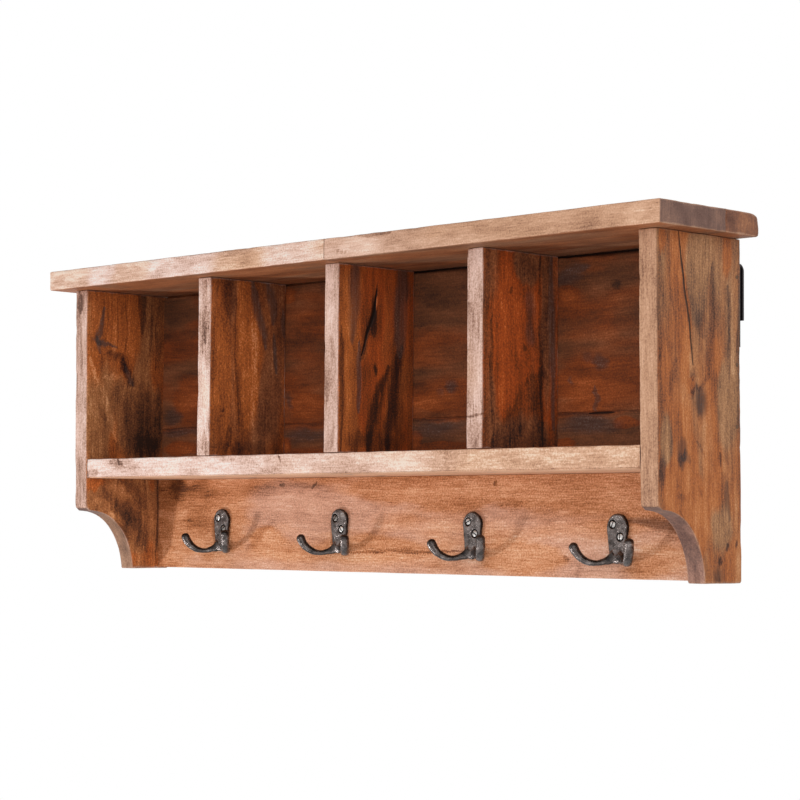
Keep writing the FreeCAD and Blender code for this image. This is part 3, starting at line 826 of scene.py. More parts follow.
right_side_panel = Board(
    "right_side_panel", seed=5, grain="z", breadth="y", palettes=(panel_orange, panel_tan), light=0.9,
    cove=cove_grey, lean=(-3.0, 1.2, 2.6), fill=(3.2, 2.9), pale=0.41, pale_contrast=0.85,
    stripe_span=(-127, -7), tan_span=all_tan, figure=panel_figure, knots=((-74, -77, 5, 0.22),),
    stripes=(
        (0.0, 0.42), (0.08, 0.44), (0.2, 0.5), (0.3, 0.56), (0.55, 0.56), (0.6, 0.48), (0.85, 0.5),
        (0.9, 0.56), (0.95, 0.5), (1.0, 0.42),
    ),
    marks=(
        (1.6, 0.7, -0.16, ((56, -115), (20, -110), (-11, -105), (-37, -99))),
        (4, 0.6, 0.12, ((24, -97), (-12, -94), (-42, -85), (-68, -78))),
        (4.5, 0.6, -0.34, ((34, -50), (-9, -50), (-46, -53), (-70, -54), (-84, -65), (-90, -78))),
        (1.4, 0.5, -0.2, ((56, -54), (-10, -57), (-46, -59), (-78, -59))),
        (7, 0.9, -0.24, ((-4, -78), (-32, -62))), (2.6, 0.7, -0.32, ((12, -27), (-8, -25))),
        (4, 0.7, -0.14, ((-10, -33), (-50, -33))), (2.4, 0.5, 0.2, ((0, -21), (-44, -19), (-76, -17))),
        (2.4, 0.8, -0.16, ((-8, -25), (-72, -23))),
        (2.2, 0.7, -0.28, ((20, -10), (-25, -11), (-105, -10), (-215, -10))),
        (6, 0.7, -0.18, ((-58, -101), (-84, -112))), (4, 0.6, -0.12, ((40, -124), (-62, -124))),
        (5, 0.7, -0.14, ((-66, -47), (-92, -44))), (1.6, 0.7, -0.22, ((-130, -73), (-146, -59))),
        (2.4, 0.5, -0.4, ((-140, -36), (-154, -35))), (1.6, 0.7, -0.22, ((-173, -70), (-183, -63))),
        (2, 0.6, -0.3, ((-196, -97), (-208, -80), (-227, -68), (-246, -62))),
    ),
    grey_marks=((4, 0.5, 0.4, ((-146, -94), (-148, -80))), (4, 0.6, 0.45, ((-172, -28), (-204, -24)))),
    clouds=(
        (-180, -91, 4, 8, -0.2), (-225, -13, 5, 2.6, -0.5), (-239, -37, 5, 3.4, -0.55),
        (-230, -27, 4, 3, -0.45), (-221, -51, 12, 7, -0.16), (-148, -97, 7, 3.4, -0.3),
        (-176, -32, 20, 7, -0.2), (-158, -120, 16, 6, -0.24), (-123, -21, 34, 8, 0.1),
        (-131, -114, 24, 8, 0.1), (-160, -88, 24, 12, 0.1), (-56, -25, 26, 10, -0.14),
        (-137, -25, 30, 10, -0.18), (-176, -24, 20, 10, -0.1), (-100, -62, 14, 8, -0.12),
    ),
    warm_clouds=(
        (48, -121, 14, 5, 1.8), (40, -27, 22, 7, 1.6), (-30, -90, 50, 9, 1.8), (24, -74, 40, 16, -2.0),
        (-83, -80, 10, 7, 2.2), (-131, -114, 26, 10, -2.0), (-123, -94, 24, 12, 1.4),
        (-157, -82, 30, 13, 1.8), (-200, -69, 34, 15, 2.2), (-209, -37, 26, 18, -1.4),
        (-98, -30, 40, 16, -1.6),
    ),
    grey_clouds=(
        (-95, -66, 14, 10, 0.75), (-141, -93, 13, 9, 0.5), (-251, -40, 8, 9, 0.5), (-18, -70, 12, 7, 0.3),
        (-158, -120, 14, 5, 0.35),
    ),
    cracks=((1.3, 0.5, 0.9, ((58, -98), (32, -94), (0, -88), (-27, -82), (-62, -77))),),
)

left_divider = Board(
    "left_divider", **divider, seed=6, palettes=(rich_warm, rich_brown), pale=0.65, pale_contrast=1.35,
    stripes=(
        (0.0, 0.56), (0.12, 0.55), (0.36, 0.56), (0.62, 0.55), (0.66, 0.51), (0.8, 0.55), (0.92, 0.51),
        (1.0, 0.5),
    ),
    marks=(
        (16, 0.2, 0.19, ((95, -82), (17, -74), (-32, -72), (-66, -70), (-104, -70))),
        (1.3, 0.6, -0.22, ((55, -90), (-10, -91), (-67, -86), (-103, -84))),
        (1.2, 0.6, 0.14, ((-3, -92), (-53, -90))), (4, 0.6, -0.35, ((-104, -98), (-131, -102))),
    ),
    grey_marks=(
        (6.5, 0.5, 0.7, ((60, -67), (24, -59), (3, -51), (-14, -47))),
        (6, 0.5, 0.7, ((60, -46), (33, -38), (10, -36))),
        (3.6, 0.5, 0.75, ((0, -34), (-24, -32), (-45, -30))), (3.5, 0.5, 0.6, ((30, -22), (0, -19))),
    ),
    clouds=(
        (38, -99, 24, 9, -0.16), (-128, -70, 10, 60, -0.2), (-75, -40, 46, 18, -0.05),
        (44, -29, 12, 8, 0.12), (-88, -108, 3, 2.2, -0.35), (-39, -52, 34, 12, 0.12),
    ),
    warm_clouds=(
        (-20, -74, 90, 18, 1.6), (-20, -108, 90, 16, 1.0), (-70, -38, 50, 20, -0.8),
        (44, -29, 14, 10, -1.5),
    ),
    front_marks=(
        (7, 0.7, -0.34, ((-201, 54), (-201, -12))), (9, 0.9, 0.1, ((-201, -30), (-201, -110))),
        (5, 0.7, -0.2, ((-200, -110), (-199, -132))),
    ),
)

middle_divider = Board(
    "middle_divider", **divider, seed=7, palettes=(rich_red, rich_warm), pale=0.47, pale_contrast=0.85,
    cracks=((2.0, 0.5, 0.95, ((36, -72), (8, -77), (-12, -86), (-34, -93))),),
    stripes=(
        (0.0, 0.46), (0.06, 0.54), (0.12, 0.63), (0.3, 0.61), (0.45, 0.58), (0.6, 0.54), (0.75, 0.42),
        (0.88, 0.44), (0.95, 0.48), (1.0, 0.42),
    ),
    # The pale lines at the split's upper end, from (28, -72.6) and from (28, -71), and the short one from
    # (-74, -67) are painted highlights.
    marks=(
        (1.0, 0.6, 0.5, ((28, -72.6), (15, -74.2))), (3.5, 0.5, -0.3, ((-5, -121), (-132, -121))),
        (4.5, 0.6, -0.34, ((40, -72), (8, -77), (-12, -86), (-38, -94))),
        (4, 0.4, -0.3, ((12, -75), (-11, -75))), (1.3, 0.4, 0.5, ((28, -71), (11, -74))),
        (7.5, 0.7, -0.46, ((-46, -53), (-67, -67), (-85, -73), (-107, -79), (-136, -84))),
        (7, 0.75, -0.4, ((-20, -36), (-55, -44), (-84, -49), (-111, -55), (-134, -55))),
        (1.2, 0.5, 0.3, ((-74, -67), (-83, -69))),
    ),
    grey_marks=(
        (7, 0.7, 0.6, ((64, -102), (34, -105), (12, -104), (-20, -107))),
        (3.6, 0.5, 0.65, ((-20, -97), (-56, -96), (-92, -97))),
        (11, 0.5, 0.6, ((66, -34), (21, -38), (-28, -39))),
    ),
    clouds=(
        (-46, -73, 7, 3.4, -0.45), (-124, -75, 12, 50, -0.22), (-40, -113, 80, 6, 0.04),
        (9, -93, 24, 10, -0.1), (-88, -92, 30, 12, 0.08), (10, -78, 40, 16, -0.1),
        (-66, -76, 40, 16, -0.12),
    ),
    warm_clouds=(
        (-70, -78, 50, 20, 1.8), (11, -78, 50, 20, 1.6), (-40, -114, 110, 14, -1.4),
        (54, -24, 12, 8, 1.6),
    ),
    front_marks=((9, 0.9, 0.12, ((0, 50), (0, 0))), (9, 0.9, -0.12, ((0, -20), (0, -130)))),
)

right_divider = Board(
    "right_divider", **divider, seed=8, palettes=(rich_red, rich_brown), pale=0.47, pale_contrast=0.9,
    grey_marks=((5, 0.5, 0.7, ((62, -29), (-8, -27), (-110, -25))),),
    grey_clouds=((7, -59, 14, 10, 0.4), (-22, -59, 12, 8, 0.4)),
    stripes=(
        (0.0, 0.42), (0.08, 0.4), (0.12, 0.44), (0.16, 0.58), (0.3, 0.6), (0.5, 0.58), (0.69, 0.5),
        (0.77, 0.5), (0.86, 0.46), (1.0, 0.44),
    ),
    marks=(
        (2.5, 0.5, -0.25, ((-5, -113), (-112, -113))),
        (2.6, 0.5, -0.36, ((62, -45), (-23, -44), (-72, -43), (-130, -40))),
        (16, 0.3, -0.26, ((-58, -40), (-85, -60), (-112, -84), (-140, -112))),
    ),
    clouds=(
        (20, -86, 6, 3, -0.35), (-38, -66, 4, 2.4, -0.3), (44, -68, 16, 24, -0.16),
        (-128, -60, 26, 44, -0.22), (-60, -95, 50, 14, 0.08), (8, -48, 26, 9, 0.24),
        (-92, -47, 28, 10, -0.18), (-20, -37, 110, 5, -0.1),
    ),
    warm_clouds=(
        (-26, -88, 80, 30, 1.8), (44, -66, 16, 24, -1.2), (-122, -66, 24, 44, -1.4),
        (-20, -36, 120, 6, -1.0),
    ),
    front_marks=(
        (1.5, 0.7, -0.35, ((191, -104), (213, -103))), (8, 0.7, -0.1, ((202, -110), (202, -132))),
        (8, 0.9, 0.1, ((202, -80), (202, -125))),
    ),
)

shelf = Board(
    "shelf", seed=9, grain="x", breadth="y", palettes=(rich_warm, rich_brown), light=0.53, pale=0.66,
    pale_contrast=1.2, stripe_span=(-127, -7), figure=heart_figure, stripes=plain_stripes(0.5), edge=1.8,
    rounds=((front, under, 4.0), *square_left, *square_right), under_palette=sanded_tan,
    tan_span=(-220, 300),
    front_marks=(
        (1.6, 0.5, -0.6, ((-352, -134), (-348, -142))), (3, 1.0, -0.22, ((-348, -139), (-338, -146))),
        (1.5, 0.5, -0.5, ((-79, -136), (-76, -144))), (6, 0.8, -0.42, ((-410, -152), (-388, -150))),
        (5, 0.9, -0.3, ((-364, -138), (-342, -143))), (14, 0.7, 0.05, ((-300, -146), (-220, -146))),
        (4, 0.7, -0.16, ((163, -138), (168, -154))), (6, 0.7, -0.18, ((296, -154), (334, -155))),
        (12, 0.9, 0.2, ((-165, -146), (-105, -146))), (12, 0.9, 0.14, ((105, -146), (165, -146))),
    ),
)

upper_back_plank = Board(
    "upper_back_plank", **back_plank, seed=10, light=0.5, stripe_span=(-97, 56),
    stripes=((0.0, 0.56), (0.3, 0.5), (0.6, 0.46), (1.0, 0.42)), grow=tucked_ends, lip=2.6,
    clouds=(
        (-376, 38, 30, 18, -0.14), (-151, 10, 30, 12, -0.14), (54, 32, 36, 16, -0.14),
        (287, 25, 5, 5, -0.35), (276, -33, 1.2, 1.2, -0.5), (-358, -66, 24, 26, 0.14),
        (-186, 44, 9, 9, 0.2), (-156, -77, 34, 14, 0.2), (49, -79, 40, 9, 0.2), (224, 18, 12, 8, 0.2),
        (247, -73, 24, 12, 0.16), (56, -45, 26, 2, 0.16), (-163, -33, 30, 18, 0.14),
        (266, -83, 40, 12, -0.06), (270, -30, 40, 24, 0.12), (310, 20, 90, 40, 0.08),
        (300, -60, 70, 30, 0.06),
    ),
    warm_clouds=(
        (-358, -66, 28, 28, 1.8), (-186, 44, 10, 10, 2.0), (-156, -77, 36, 14, 1.8),
        (49, -79, 42, 10, 1.8), (224, 18, 13, 9, 1.8), (250, -70, 60, 20, 1.5), (54, 20, 40, 30, -1.2),
        (-376, 38, 30, 20, -1.2), (310, 20, 90, 40, -0.8),
    ),
    grey_clouds=(
        (-390, -83, 16, 14, 0.6), (-187, -73, 7, 10, 0.6), (65, -66, 11, 9, 0.7), (49, -71, 8, 5, 0.4),
        (265, -49, 11, 9, 0.65), (250, -44, 8, 5, 0.4), (228, -66, 5, 5, 0.5),
    ),
    grey_marks=(
        (8, 0.5, 0.7, ((210, 32), (230, 40), (250, 45))), (4.5, 0.5, 0.6, ((262, -72), (260, -97))),
    ),
    # The near-black line along the top edge is a painted shadow under the top board, not a crack.
    cracks=(
        (4.5, 0.5, 0.9, ((0, 58), (110, 58), (200, 58))),
        (3.6, 0.5, 0.9, ((205, 58), (320, 58), (410, 58))),
    ),
)

lower_back_plank = Board(
    "lower_back_plank", **back_plank, seed=11, light=0.42, stripe_span=(-260, -97),
    stripes=((0.0, 0.5), (0.76, 0.6), (0.83, 0.46), (1.0, 0.42)), grow=(*tucked_ends, (upper, 0.9)),
    marks=((1.5, 0.6, -0.3, ((-402, -98), (402, -98))),),
    cracks=((1.4, 0.5, 0.9, ((252, -98.6), (284, -98.6))),),
    clouds=(
        (13, -118, 8, 8, 0.25), (-190, -122, 8, 7, 0.25), (-373, -120, 34, 8, 0.14),
        (300, -109, 20, 6, 0.15), (217, -128, 16, 5, 0.2),
    ),
    warm_clouds=(
        (0, -112, 800, 14, -1.2), (-373, -120, 40, 9, 2.4), (-190, -122, 10, 8, 3.0),
        (13, -118, 9, 9, 3.2), (300, -109, 20, 6, 2.6), (217, -127, 20, 6, 3.0), (51, -128, 40, 6, 2.4),
    ),
    grey_clouds=(
        (-374, -103, 40, 5, 0.6), (-158, -110, 40, 10, 0.7), (51, -107, 44, 10, 0.75),
        (251, -109, 40, 11, 0.75),
    ),
)

hook_rail = Board(
    "hook_rail", seed=12, grain="x", breadth="z", palettes=(rail_orange, rail_pink), light=0.9,
    wander=2.0, drift=0.25, stripe_span=(-260, -157), stripes=plain_stripes(0.56), figure=rail_figure,
    sanded_front=False, grow=tucked_ends, rounds=((front, upper, glued),), one_face=True,
    marks=(
        (2.5, 0.6, -0.35, ((-195, -165), (-185, -164))), (2.2, 0.5, -0.4, ((-141, -170), (-131, -161))),
        (2.2, 0.5, -0.4, ((131, -166), (136, -165))), (2, 0.5, -0.35, ((222, -239), (230, -240))),
        # The mark from (-250, -236) to (-205, -205) is a painted shadow of the first hook's prong.
        (4, 0.7, -0.2, ((243, -246), (243, -259))), (6, 0.7, -0.2, ((-250, -236), (-205, -205))),
        (1.6, 0.5, -0.14, ((-21, -206), (-21, -214))),
    ),
    dotted_marks=(
        (1.9, 0.6, -0.34, ((-86, -238), (-34, -236), (4, -235), (42, -235), (84, -235))),
        (5.0, 0.6, -0.2, ((312, -202), (334, -205), (358, -208), (393, -212))),
    ),
    grey_marks=((5.5, 0.5, 0.4, ((310, -202), (334, -205), (358, -208), (393, -212))),),
    # The dark clouds at the left end are partly a painted shadow of the left panel, and the dark band along
    # the top, under the shelf, is partly painted shade.
    clouds=(
        (-370, -165, 20, 15, -0.42), (-394, -192, 24, 36, -0.18), (-404, -240, 8, 20, -0.18),
        (-335, -182, 40, 30, -0.1), (-210, -180, 60, 12, 0.1), (0, -163, 400, 7, -0.1),
        (-240, -171, 130, 11, -0.16), (-330, -172, 50, 14, -0.1), (-110, -245, 240, 14, 0.1),
        (55, -202, 30, 16, 0.1), (-128, -172, 40, 9, -0.16), (-225, -172, 40, 9, -0.1),
        (-331, -203, 30, 18, -0.1),
    ),
    warm_clouds=(
        (-340, -192, 96, 50, 2.4), (-215, -224, 30, 14, 1.8), (-170, -192, 130, 34, -1.1),
        (130, -170, 300, 22, 1.5), (-40, -228, 60, 10, 0.8), (342, -240, 50, 20, 1.0),
        (168, -240, 60, 18, 1.8),
    ),
)

boards = (
    top_front_left_plank, top_front_right_plank, top_rear_plank, left_side_panel, right_side_panel,
    left_divider, middle_divider, right_divider, shelf, upper_back_plank, lower_back_plank, hook_rail,
)


def board_mesh(board):
    """A board's points, faces and distances from an edge."""
    low, high = (np.array(corner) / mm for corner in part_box(board.name))
    blocks = [worn_block(low, high, board)]
    if board.lip:
        lip_low = np.array([low[0], low[1] + 0.5 * (high[1] - low[1]), high[2] - lip_root])
        lip_high = np.array([high[0], high[1], high[2] + board.lip])
        blocks.append(worn_block(lip_low, lip_high, replace(board, edge=lip_edge)))
    points, faces = merged([block[:2] for block in blocks])
    if board.cove:
        points = coved(points, board.lean, board.fill)
    return points, faces, np.concatenate([block[2] for block in blocks])


def dress_boards():
    for board in boards:
        points, faces, edge_distance = board_mesh(board)
        dressed = board.name + "_wood"
        piece = add_mesh(dressed, points, faces, {"edge_mm": edge_distance})
        stand_for(piece, wood(dressed, board), "reclaimed_wood", board.name)


# Cast hooks: forms in millimetres from the middle of the plate's top edge, with the rail's face at y 0
plate_height, plate_thickness, plate_head_radius, plate_foot_radius = 47.0, 4.0, 12.8, 10.0
plate_edge_round = 1.6
prong_root, prong_low_reach, prong_arc_radius, prong_arc_drop = 12.0, 10.5, 22.4, 25.2
prong_spread, prong_start, prong_end = (math.radians(angle) for angle in (45, -18, 71.5))
prong_rings, prong_tip = 44, 4.4
right_prong_rises = (4.5, 0.6, 5.0, 5.3)
least_rise = 0.3
countersink_radius, countersink_depth, screw_head_radius, screw_sink = 4.7, 2.4, 3.25, 0.55
cast_voxel, cast_smoothings = 0.5, 12
hook_slot_angles = ((88, 40), (60, -50), (24, -32), (66, 88))
screw_dulls = ((0.0, 0.8), (0.85, 0.0), (0.25, 0.35), (0.2, 0.25))


def circle(count):
    """Evenly spaced points round a circle of radius 1, as two lists of places."""
    angles = np.linspace(0, 2 * math.pi, count, endpoint=False)
    return np.cos(angles), np.sin(angles)


def tube(rings):
    """A closed skin through rings of points."""
    count = len(rings[0])
    around = np.arange(count)
    faces = []
    for ring in range(len(rings) - 1):
        low, high = ring * count + around, (ring + 1) * count + around
        faces += list(zip(low, np.roll(low, -1), np.roll(high, -1), high))
    faces.append(tuple(around[::-1]))
    faces.append(tuple((len(rings) - 1) * count + around))
    return np.concatenate(rings), faces


def turned_over(points, faces):
    """The same skin with its faces the other way round."""
    return points, [face[::-1] for face in faces]


def plate_form():
    """The tapered plate with a rounded front edge."""
    head, foot = -plate_head_radius, plate_foot_radius - plate_height
    tilt = math.asin((plate_head_radius - plate_foot_radius) / (head - foot))
    head_arc = (plate_head_radius, head, np.linspace(-tilt, math.pi + tilt, 40))
    foot_arc = (plate_foot_radius, foot, np.linspace(math.pi + tilt, 2 * math.pi - tilt, 28))

    def outline(inset, y):
        rims = []
        for radius, middle, angles in (head_arc, foot_arc):
            x, z = (radius - inset) * np.cos(angles), middle + (radius - inset) * np.sin(angles)
            rims.append(joined(x, y, z))
        return np.concatenate(rims)

    rings = [outline(0, 0.0)]
    for turn in np.linspace(0, 1.57, 6):
        inset, rise = plate_edge_round * (1 - math.cos(turn)), plate_edge_round * (1 - math.sin(turn))
        rings.append(outline(inset, rise - plate_thickness))
    return tube(rings)


def smooth_path(places, count):
    """Evenly spaced points along a run of places, with its corners eased."""
    places = np.array(places)
    run = np.concatenate([[0], np.cumsum(np.linalg.norm(np.diff(places, axis=0), axis=1))])
    even = np.linspace(0, run[-1], count)
    path = np.stack([np.interp(even, run, places[:, axis]) for axis in range(3)], axis=-1)
    for _ in range(4):
        path[1:-1] = 0.25 * path[:-2] + 0.5 * path[1:-1] + 0.25 * path[2:]
    return path


def prong_path(side, rise):
    """The middle line of a prong: it leaves the plate sideways and swings forward and up."""
    plan = np.array([side * math.sin(prong_spread), -math.cos(prong_spread), 0])
    up = np.array([0, 0, 1.0])
    root = np.array([side * prong_root, -plate_thickness, 0])
    places = [np.array([side * 2.0, -3.0, -40.0]), np.array([side * 8.0, -4.0, -44.4])]
    for angle in np.linspace(prong_start, prong_end, 14):
        reach = prong_low_reach + prong_arc_radius * math.sin(angle)
        drop = prong_arc_drop + prong_arc_radius * math.cos(angle)
        places.append(root + plan * reach - up * drop)
    ahead = plan * math.cos(prong_end) + up * math.sin(prong_end)
    places.append(places[-1] + ahead * max(rise, least_rise))
    return smooth_path(places, prong_rings)


def prong_form(side, rise):
    """One prong, oval and thin at the waist, with a domed tip."""
    centres = prong_path(side, rise)
    ahead = unit(np.gradient(centres, axis=0))
    level = unit(joined(-ahead[:, 1], ahead[:, 0], 0))
    normal = np.cross(ahead, level)
    shares = np.linspace(0, 1, prong_rings)
    thick = np.interp(shares, (0, 0.1, 0.25, 0.42, 0.6, 0.78, 1), (6.0, 5.4, 3.6, 2.8, 3.6, 4.4, 4.9))
    wide = np.interp(shares, (0, 0.25, 1), (3.0, 4.4, 5.0))
    across, over = circle(28)
    rings = [centre + np.outer(across, a) + np.outer(over, b)
             for centre, a, b in zip(centres, level * wide[:, None], normal * thick[:, None])]
    last = rings[-1] - centres[-1]
    for turn in np.linspace(0.2, 1.5, 8):
        rings.append(centres[-1] + last * math.cos(turn) + ahead[-1] * prong_tip * math.sin(turn))
    return tube(rings)


def neck_form():
    """The thicker foot of the plate, which the prongs grow from."""
    across, over = circle(24)
    rings = []
    for z, wide, deep in ((-27, 5.0, 0.4), (-33, 7.2, 1.0), (-38, 8.6, 1.8), (-42, 8.8, 2.6),
                          (-45, 7.8, 2.8), (-47, 6.0, 2.4), (-48.4, 2.5, 1.2)):
        rings.append(joined(wide * across, -plate_thickness + 1 - deep * over, z))
    return turned_over(*tube(rings))


def evaluated(piece):
    """The piece's mesh with its modifiers, as points in millimetres and faces; the piece is removed."""
    bpy.context.view_layer.update()
    graph = bpy.context.evaluated_depsgraph_get()
    mesh = bpy.data.meshes.new_from_object(piece.evaluated_get(graph))
    points = np.array([vertex.co for vertex in mesh.vertices]) / mm
    faces = [tuple(polygon.vertices) for polygon in mesh.polygons]
    bpy.data.meshes.remove(mesh)
    bpy.data.objects.remove(piece)
    return points, faces


def cast_form(rise):
    """The hook's forms melted into one skin."""
    forms = [plate_form(), neck_form(), prong_form(1, rise), prong_form(-1, 0.0)]
    piece = add_mesh("cast_form", *merged(forms))
    melt = piece.modifiers.new("melt", "REMESH")
    melt.mode = "VOXEL"
    melt.voxel_size = cast_voxel * mm
    ease = piece.modifiers.new("ease", "SMOOTH")
    ease.factor = 0.5
    ease.iterations = cast_smoothings
    return evaluated(piece)


def outward_directions(points, faces):
    """Smooth outward direction at each point."""
    total = np.zeros_like(points)
    corners = np.array([face for face in faces if len(face) == 4])
    first, second, third, fourth = (points[corners[:, column]] for column in range(4))
    normal = np.cross(third - first, fourth - second)
    for column in range(4):
        np.add.at(total, corners[:, column], normal)
    return unit(total)


def hook_skin(number):
    """A casting's lumpy points, its faces and which points lie in its countersinks."""
    form, faces = cast_form(right_prong_rises[number])
    rough = 0.34 * lumps(form, 6.0, 40 + number) + 0.13 * lumps(form, 2.2, 50 + number)
    points = form + outward_directions(form, faces) * (rough - 0.15)[:, None]
    hollows = np.zeros(len(form))
    in_front = form[:, 1] < -2
    for spot_x, spot_z in hook_screw_spots:
        away = np.hypot(form[:, 0] - spot_x, form[:, 2] - spot_z) / countersink_radius
        sunk = -plate_thickness + countersink_depth * (1 - away ** 4)
        hollow = (away < 1) & in_front & (form[:, 1] > -plate_thickness - 2)
        points[hollow, 1] = np.maximum(points[hollow, 1], sunk[hollow])
        hollows = np.maximum(hollows, soft_step(away, 1.06, 0.9) * in_front)
    points[:, 1] = np.minimum(points[:, 1], -0.02)
    return points, faces, hollows


def slotted_screw():
    """A flat-domed countersunk screw with its head's rim at y 0, facing -y."""
    profile = ((0.02, -0.62), (1.2, -0.57), (2.1, -0.4), (2.8, -0.14), (screw_head_radius, 0.2), (3.0, 0.6),
               (1.7, 2.0), (1.5, 10.0), (0.9, 11.4), (0.05, 12.2))
    across, over = circle(40)
    rings = [joined(radius * across, y, radius * over) for radius, y in profile]
    head = add_mesh("screw_form", *merged([turned_over(*tube(rings))]))
    slot_lines = [np.array([-4.0, 4.0]), np.array([-3.0, 0.5]), np.array([-0.62, 0.62])]
    slot = add_mesh("slot_form", *lattice_block(slot_lines))
    cut = head.modifiers.new("slot", "BOOLEAN")
    cut.operation = "DIFFERENCE"
    cut.object = slot
    made = evaluated(head)
    bpy.data.objects.remove(slot)
    return made


def dress_hooks():
    screw_points, screw_faces = slotted_screw()
    iron = cast_iron()
    screws, dulls = [], []
    for number, (x, z) in enumerate(hook_places):
        place = np.array([x, rail_front, z])
        points, faces, hollows = hook_skin(number)
        piece = add_mesh(f"coat_hook_{number + 1}_casting", points + place, faces, {"hollow": hollows})
        stand_for(piece, iron, "cast_iron", f"coat_hook_{number + 1}")
        ways = zip(hook_screw_spots, hook_slot_angles[number], screw_dulls[number])
        for (spot_x, spot_z), angle, dull in ways:
            turn = np.array(Matrix.Rotation(math.radians(-angle), 3, "Y"))
            spot = place + np.array([spot_x, screw_sink - plate_thickness, spot_z])
            screws.append((screw_points @ turn.T + spot, screw_faces))
            dulls.append(np.full(len(screw_points), dull))
    piece = add_mesh("hook_screw_set", *merged(screws), {"dull": np.concatenate(dulls)})
    piece.data.shade_flat()
    stand_for(piece, bright_screw(), "zinc_steel", "hook_screws")


def cast_iron():
    """Blackened cast iron, worn brighter on the plates' faces, with painted shade and painted highlights."""
    g = Graph("cast_iron")
    y = g.place()[1]
    facing = g.facing()
    pits = g.mottle(1.0, 3.0, 0.6)
    patches = g.mottle(6.5, 4.0, 0.62)
    face_y = rail_front - plate_thickness
    prong = g.step(y, face_y - 1.0, face_y - 3.0)
    plate = g.step(y, face_y + 0.7, face_y + 0.25) * g.step(-facing[1], 0.7, 0.95) * (1.0 - prong)
    # Painted shade: the plates' edges, which face away from the front, are darker.
    side = g.step(-facing[1], 0.75, 0.3) * (1.0 - prong)
    # Painted shade: the prongs' upward faces are darker.
    top = g.step(facing[2], -0.05, 0.5) * prong
    # Painted highlight: a brighter band along the prongs' downward-tilted flanks.
    rubbed = g.step(g.math("ABSOLUTE", facing[2] + 0.4), 0.3, 0.05) * prong
    tone = 0.31 + plate * 0.25 - side * 0.2 - top * 0.22 + rubbed * 0.26 + pits * 0.1 + patches * 0.34
    colour = g.ramp(tone, ((0.0, (0.014, 0.012, 0.012)), (0.4, (0.074, 0.060, 0.055)),
                           (0.7, (0.215, 0.180, 0.170)), (1.0, (0.600, 0.560, 0.530))))
    # Painted shade: the countersinks round the screws are near black.
    colour = g.mix(g.value("hollow") * 0.9, colour, (0.008, 0.006, 0.006))
    roughness = 0.25 + pits * 0.08 - patches * 0.05
    height = pits * 0.28 + patches * 0.3
    return g.finish({"Base Color": colour, "Metallic": 0.8, "Roughness": roughness}, height, 0.0004)


def bright_screw():
    """Bright zinc with painted shade in the slots, and some heads gone dull and brown."""
    g = Graph("zinc_screws")
    y = g.place()[1]
    mottle = g.mottle(0.9, 2.0)
    bright = g.ramp(0.5 + mottle * 0.25, ((0.0, (0.50, 0.48, 0.46)), (1.0, (0.92, 0.90, 0.88))))
    brown = g.ramp(0.5 + mottle * 0.25, ((0.0, (0.03, 0.022, 0.018)), (1.0, (0.20, 0.16, 0.13))))
    rim_y = rail_front - plate_thickness + screw_sink
    # Painted shade: what lies deeper than the heads' rims, the slots' floors too, is near black.
    dirt = g.step(y, rim_y - 0.05, rim_y + 0.3)
    colour = g.mix(g.value("dull"), bright, brown)
    colour = g.mix(dirt, colour, (0.012, 0.010, 0.009))
    roughness = 0.34 + mottle * 0.06
    return g.finish({"Base Color": colour, "Metallic": 0.7, "Roughness": roughness}, mottle, 0.0001)


def plain_metal(name, dark, light, roughness, size):
    """A bare or painted metal with a fine mottle."""
    g = Graph(name)
    mottle = g.mottle(size, 3.0, 0.6)
    colour = g.ramp(0.5 + mottle * 0.25, ((0.0, dark), (1.0, light)))
    roughness = roughness + mottle * 0.06
    return g.finish({"Base Color": colour, "Metallic": 0.9, "Roughness": roughness}, mottle, 0.0001)


def dowel_wood():
    """Short plain wood."""
    g = Graph("dowel_wood")
    grain = g.mottle(1.2, 3.0, 0.65)
    colour = g.ramp(0.5 + grain * 0.25, ((0.0, (0.42, 0.27, 0.15)), (1.0, (0.66, 0.47, 0.30))))
    return g.finish({"Base Color": colour, "Roughness": 0.7 + grain * 0.05}, grain)


def dress_hangers(finish):
    """The hangers' tops slope down from the panels to the wall, as a strip bent by hand does."""
    for name in ("left_hanger", "right_hanger"):
        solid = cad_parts[name]
        points = np.array([solid.matrix_world @ vertex.co for vertex in solid.data.vertices]) / mm
        outward = np.clip((points[:, 1] - case_back) / -case_back, 0, 1)
        points[:, 2] -= hanger_slope * outward * soft_step(points[:, 2], hanger_top - 5.0, hanger_top - 4.0)
        piece = add_mesh(name + "_strip", points, [tuple(side.vertices) for side in solid.data.polygons])
        piece.data.set_sharp_from_angle(angle=0.6)
        stand_for(piece, finish, "black_steel", name)


def finish_solids():
    """The solids that stay as they are get their finish."""
    black = plain_metal("black_steel", (0.022, 0.018, 0.018), (0.075, 0.062, 0.062), 0.42, 2.0)
    rusty = plain_metal("rusty_steel", (0.100, 0.055, 0.035), (0.240, 0.140, 0.090), 0.6, 1.2)
    zinc = plain_metal("zinc_steel", (0.35, 0.34, 0.32), (0.75, 0.74, 0.72), 0.35, 0.9)
    plug = wood("plug_wood", replace(right_side_panel, worn=False, cove=None))
    dress_hangers(black)
    finishes = {
        "hanger_screws": black, "back_nails": rusty, "shelf_screws": zinc, "rail_screws": zinc,
        "divider_screws": zinc, "screw_plugs": plug, "top_dowels": dowel_wood(),
    }
    for name, finish in finishes.items():
        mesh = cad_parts[name].data
        mesh.materials.clear()
        mesh.materials.append(finish)


# Studio. The photograph's camera: its place in millimetres, its turns in degrees and its focal length
# in pixels of the photograph
camera_place = (1760.2, -1754.4, -210.5)
camera_yaw, camera_pitch, camera_roll = 45.548, 3.089, 0.389
camera_focal_pixels, photo_width_pixels = 2360.4, 800
sensor_width = 36.0
floor_half, floor_drop, floor_lines = 6000.0, 1500.0, 13
room_light = 0.5


def turned(first, second, degrees):
    """Two directions at right angles, the first turned toward the second."""
    angle = math.radians(degrees)
    return (first * math.cos(angle) + second * math.sin(angle),
            second * math.cos(angle) - first * math.sin(angle))


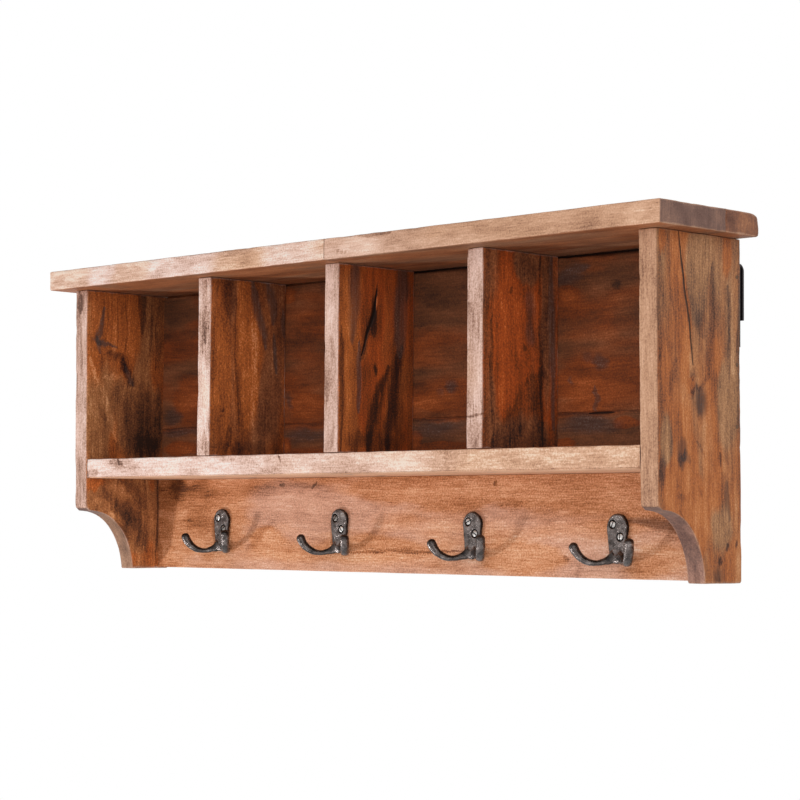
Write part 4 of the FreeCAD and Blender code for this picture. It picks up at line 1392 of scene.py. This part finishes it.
def add_camera():
    right, ahead = turned(Vector((1, 0, 0)), Vector((0, 1, 0)), camera_yaw)
    ahead, up = turned(ahead, Vector((0, 0, 1)), camera_pitch)
    right, up = turned(right, up, camera_roll)
    data = bpy.data.cameras.new("photo_camera")
    data.sensor_width = sensor_width
    data.lens = camera_focal_pixels / photo_width_pixels * sensor_width
    camera = add_object("photo_camera", data)
    turn = Matrix((right, up, -ahead)).transposed()
    camera.matrix_world = Matrix.Translation(Vector(camera_place) * mm) @ turn.to_4x4()
    bpy.context.scene.camera = camera


def add_softbox(name, place, target, size, level):
    """A square lamp that gives a surface facing it about the given share of full white."""
    place, target = Vector(place), Vector(target)
    data = bpy.data.lights.new(name, "AREA")
    data.size = size
    data.energy = level * math.pi ** 2 * (target - place).length_squared
    lamp = add_object(name, data)
    lamp.location = place
    lamp.rotation_euler = (target - place).to_track_quat("-Z", "Y").to_euler()


def seen_directly(g):
    """1 where the camera, a reflection or a see-through surface looks straight at the backdrop."""
    path = g.node("ShaderNodeLightPath").outputs
    seen = g.math("MAXIMUM", path["Is Camera Ray"], path["Is Glossy Ray"])
    return g.math("MAXIMUM", seen, path["Is Transmission Ray"])


def add_studio():
    """A white room that lights the rack softly, and three lamps."""
    world = bpy.data.worlds.new("studio")
    world.use_nodes = True
    bpy.context.scene.world = world
    g = Graph("studio", world.node_tree)
    background = world.node_tree.nodes["Background"]
    background.inputs["Color"].default_value = (1, 1, 1, 1)
    g.feed(background.inputs["Strength"], room_light + seen_directly(g) * (1.0 - room_light))
    add_softbox("key_softbox", (-1.41, -1.45, -1.24), (0, -0.05, -0.15), 0.16, 0.38)
    add_softbox("right_softbox", (2.3, -1.9, 0.35), (0, -0.05, -0.1), 2.4, 0.46)
    add_softbox("low_softbox", (0.4, -1.2, -1.5), (0, -0.05, -0.1), 1.2, 0.03)


def add_floor():
    """A wide pale floor far below the rack, as under a rack on a wall."""
    side = np.linspace(-floor_half, floor_half, floor_lines)
    x, y = np.meshgrid(side, side, indexing="ij")
    points = joined(x, y, case_foot - floor_drop).reshape(-1, 3)
    floor = add_mesh("floor", points, grid_quads(np.arange(len(points)).reshape(x.shape)))
    g = Graph("pale_floor")
    shader = g.node("ShaderNodeBsdfPrincipled", {"Base Color": (0.9, 0.9, 0.9, 1), "Roughness": 0.8})
    glow = g.node("ShaderNodeEmission", {"Color": (1, 1, 1, 1), "Strength": 1.0})
    share = seen_directly(g) * 0.8
    mixed = g.node("ShaderNodeMixShader", {0: share, 1: shader.outputs[0], 2: glow.outputs[0]})
    g.node("ShaderNodeOutputMaterial", {"Surface": mixed.outputs[0]})
    floor.data.materials.append(g.material)
    floor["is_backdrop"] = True


bpy.context.scene.view_settings.view_transform = "Standard"
add_camera()
add_studio()
add_floor()
finish_solids()
dress_boards()
dress_hooks()

boxes = {"cad": [list(corner) for corner in cad_box], "visual": [list(corner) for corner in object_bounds()]}
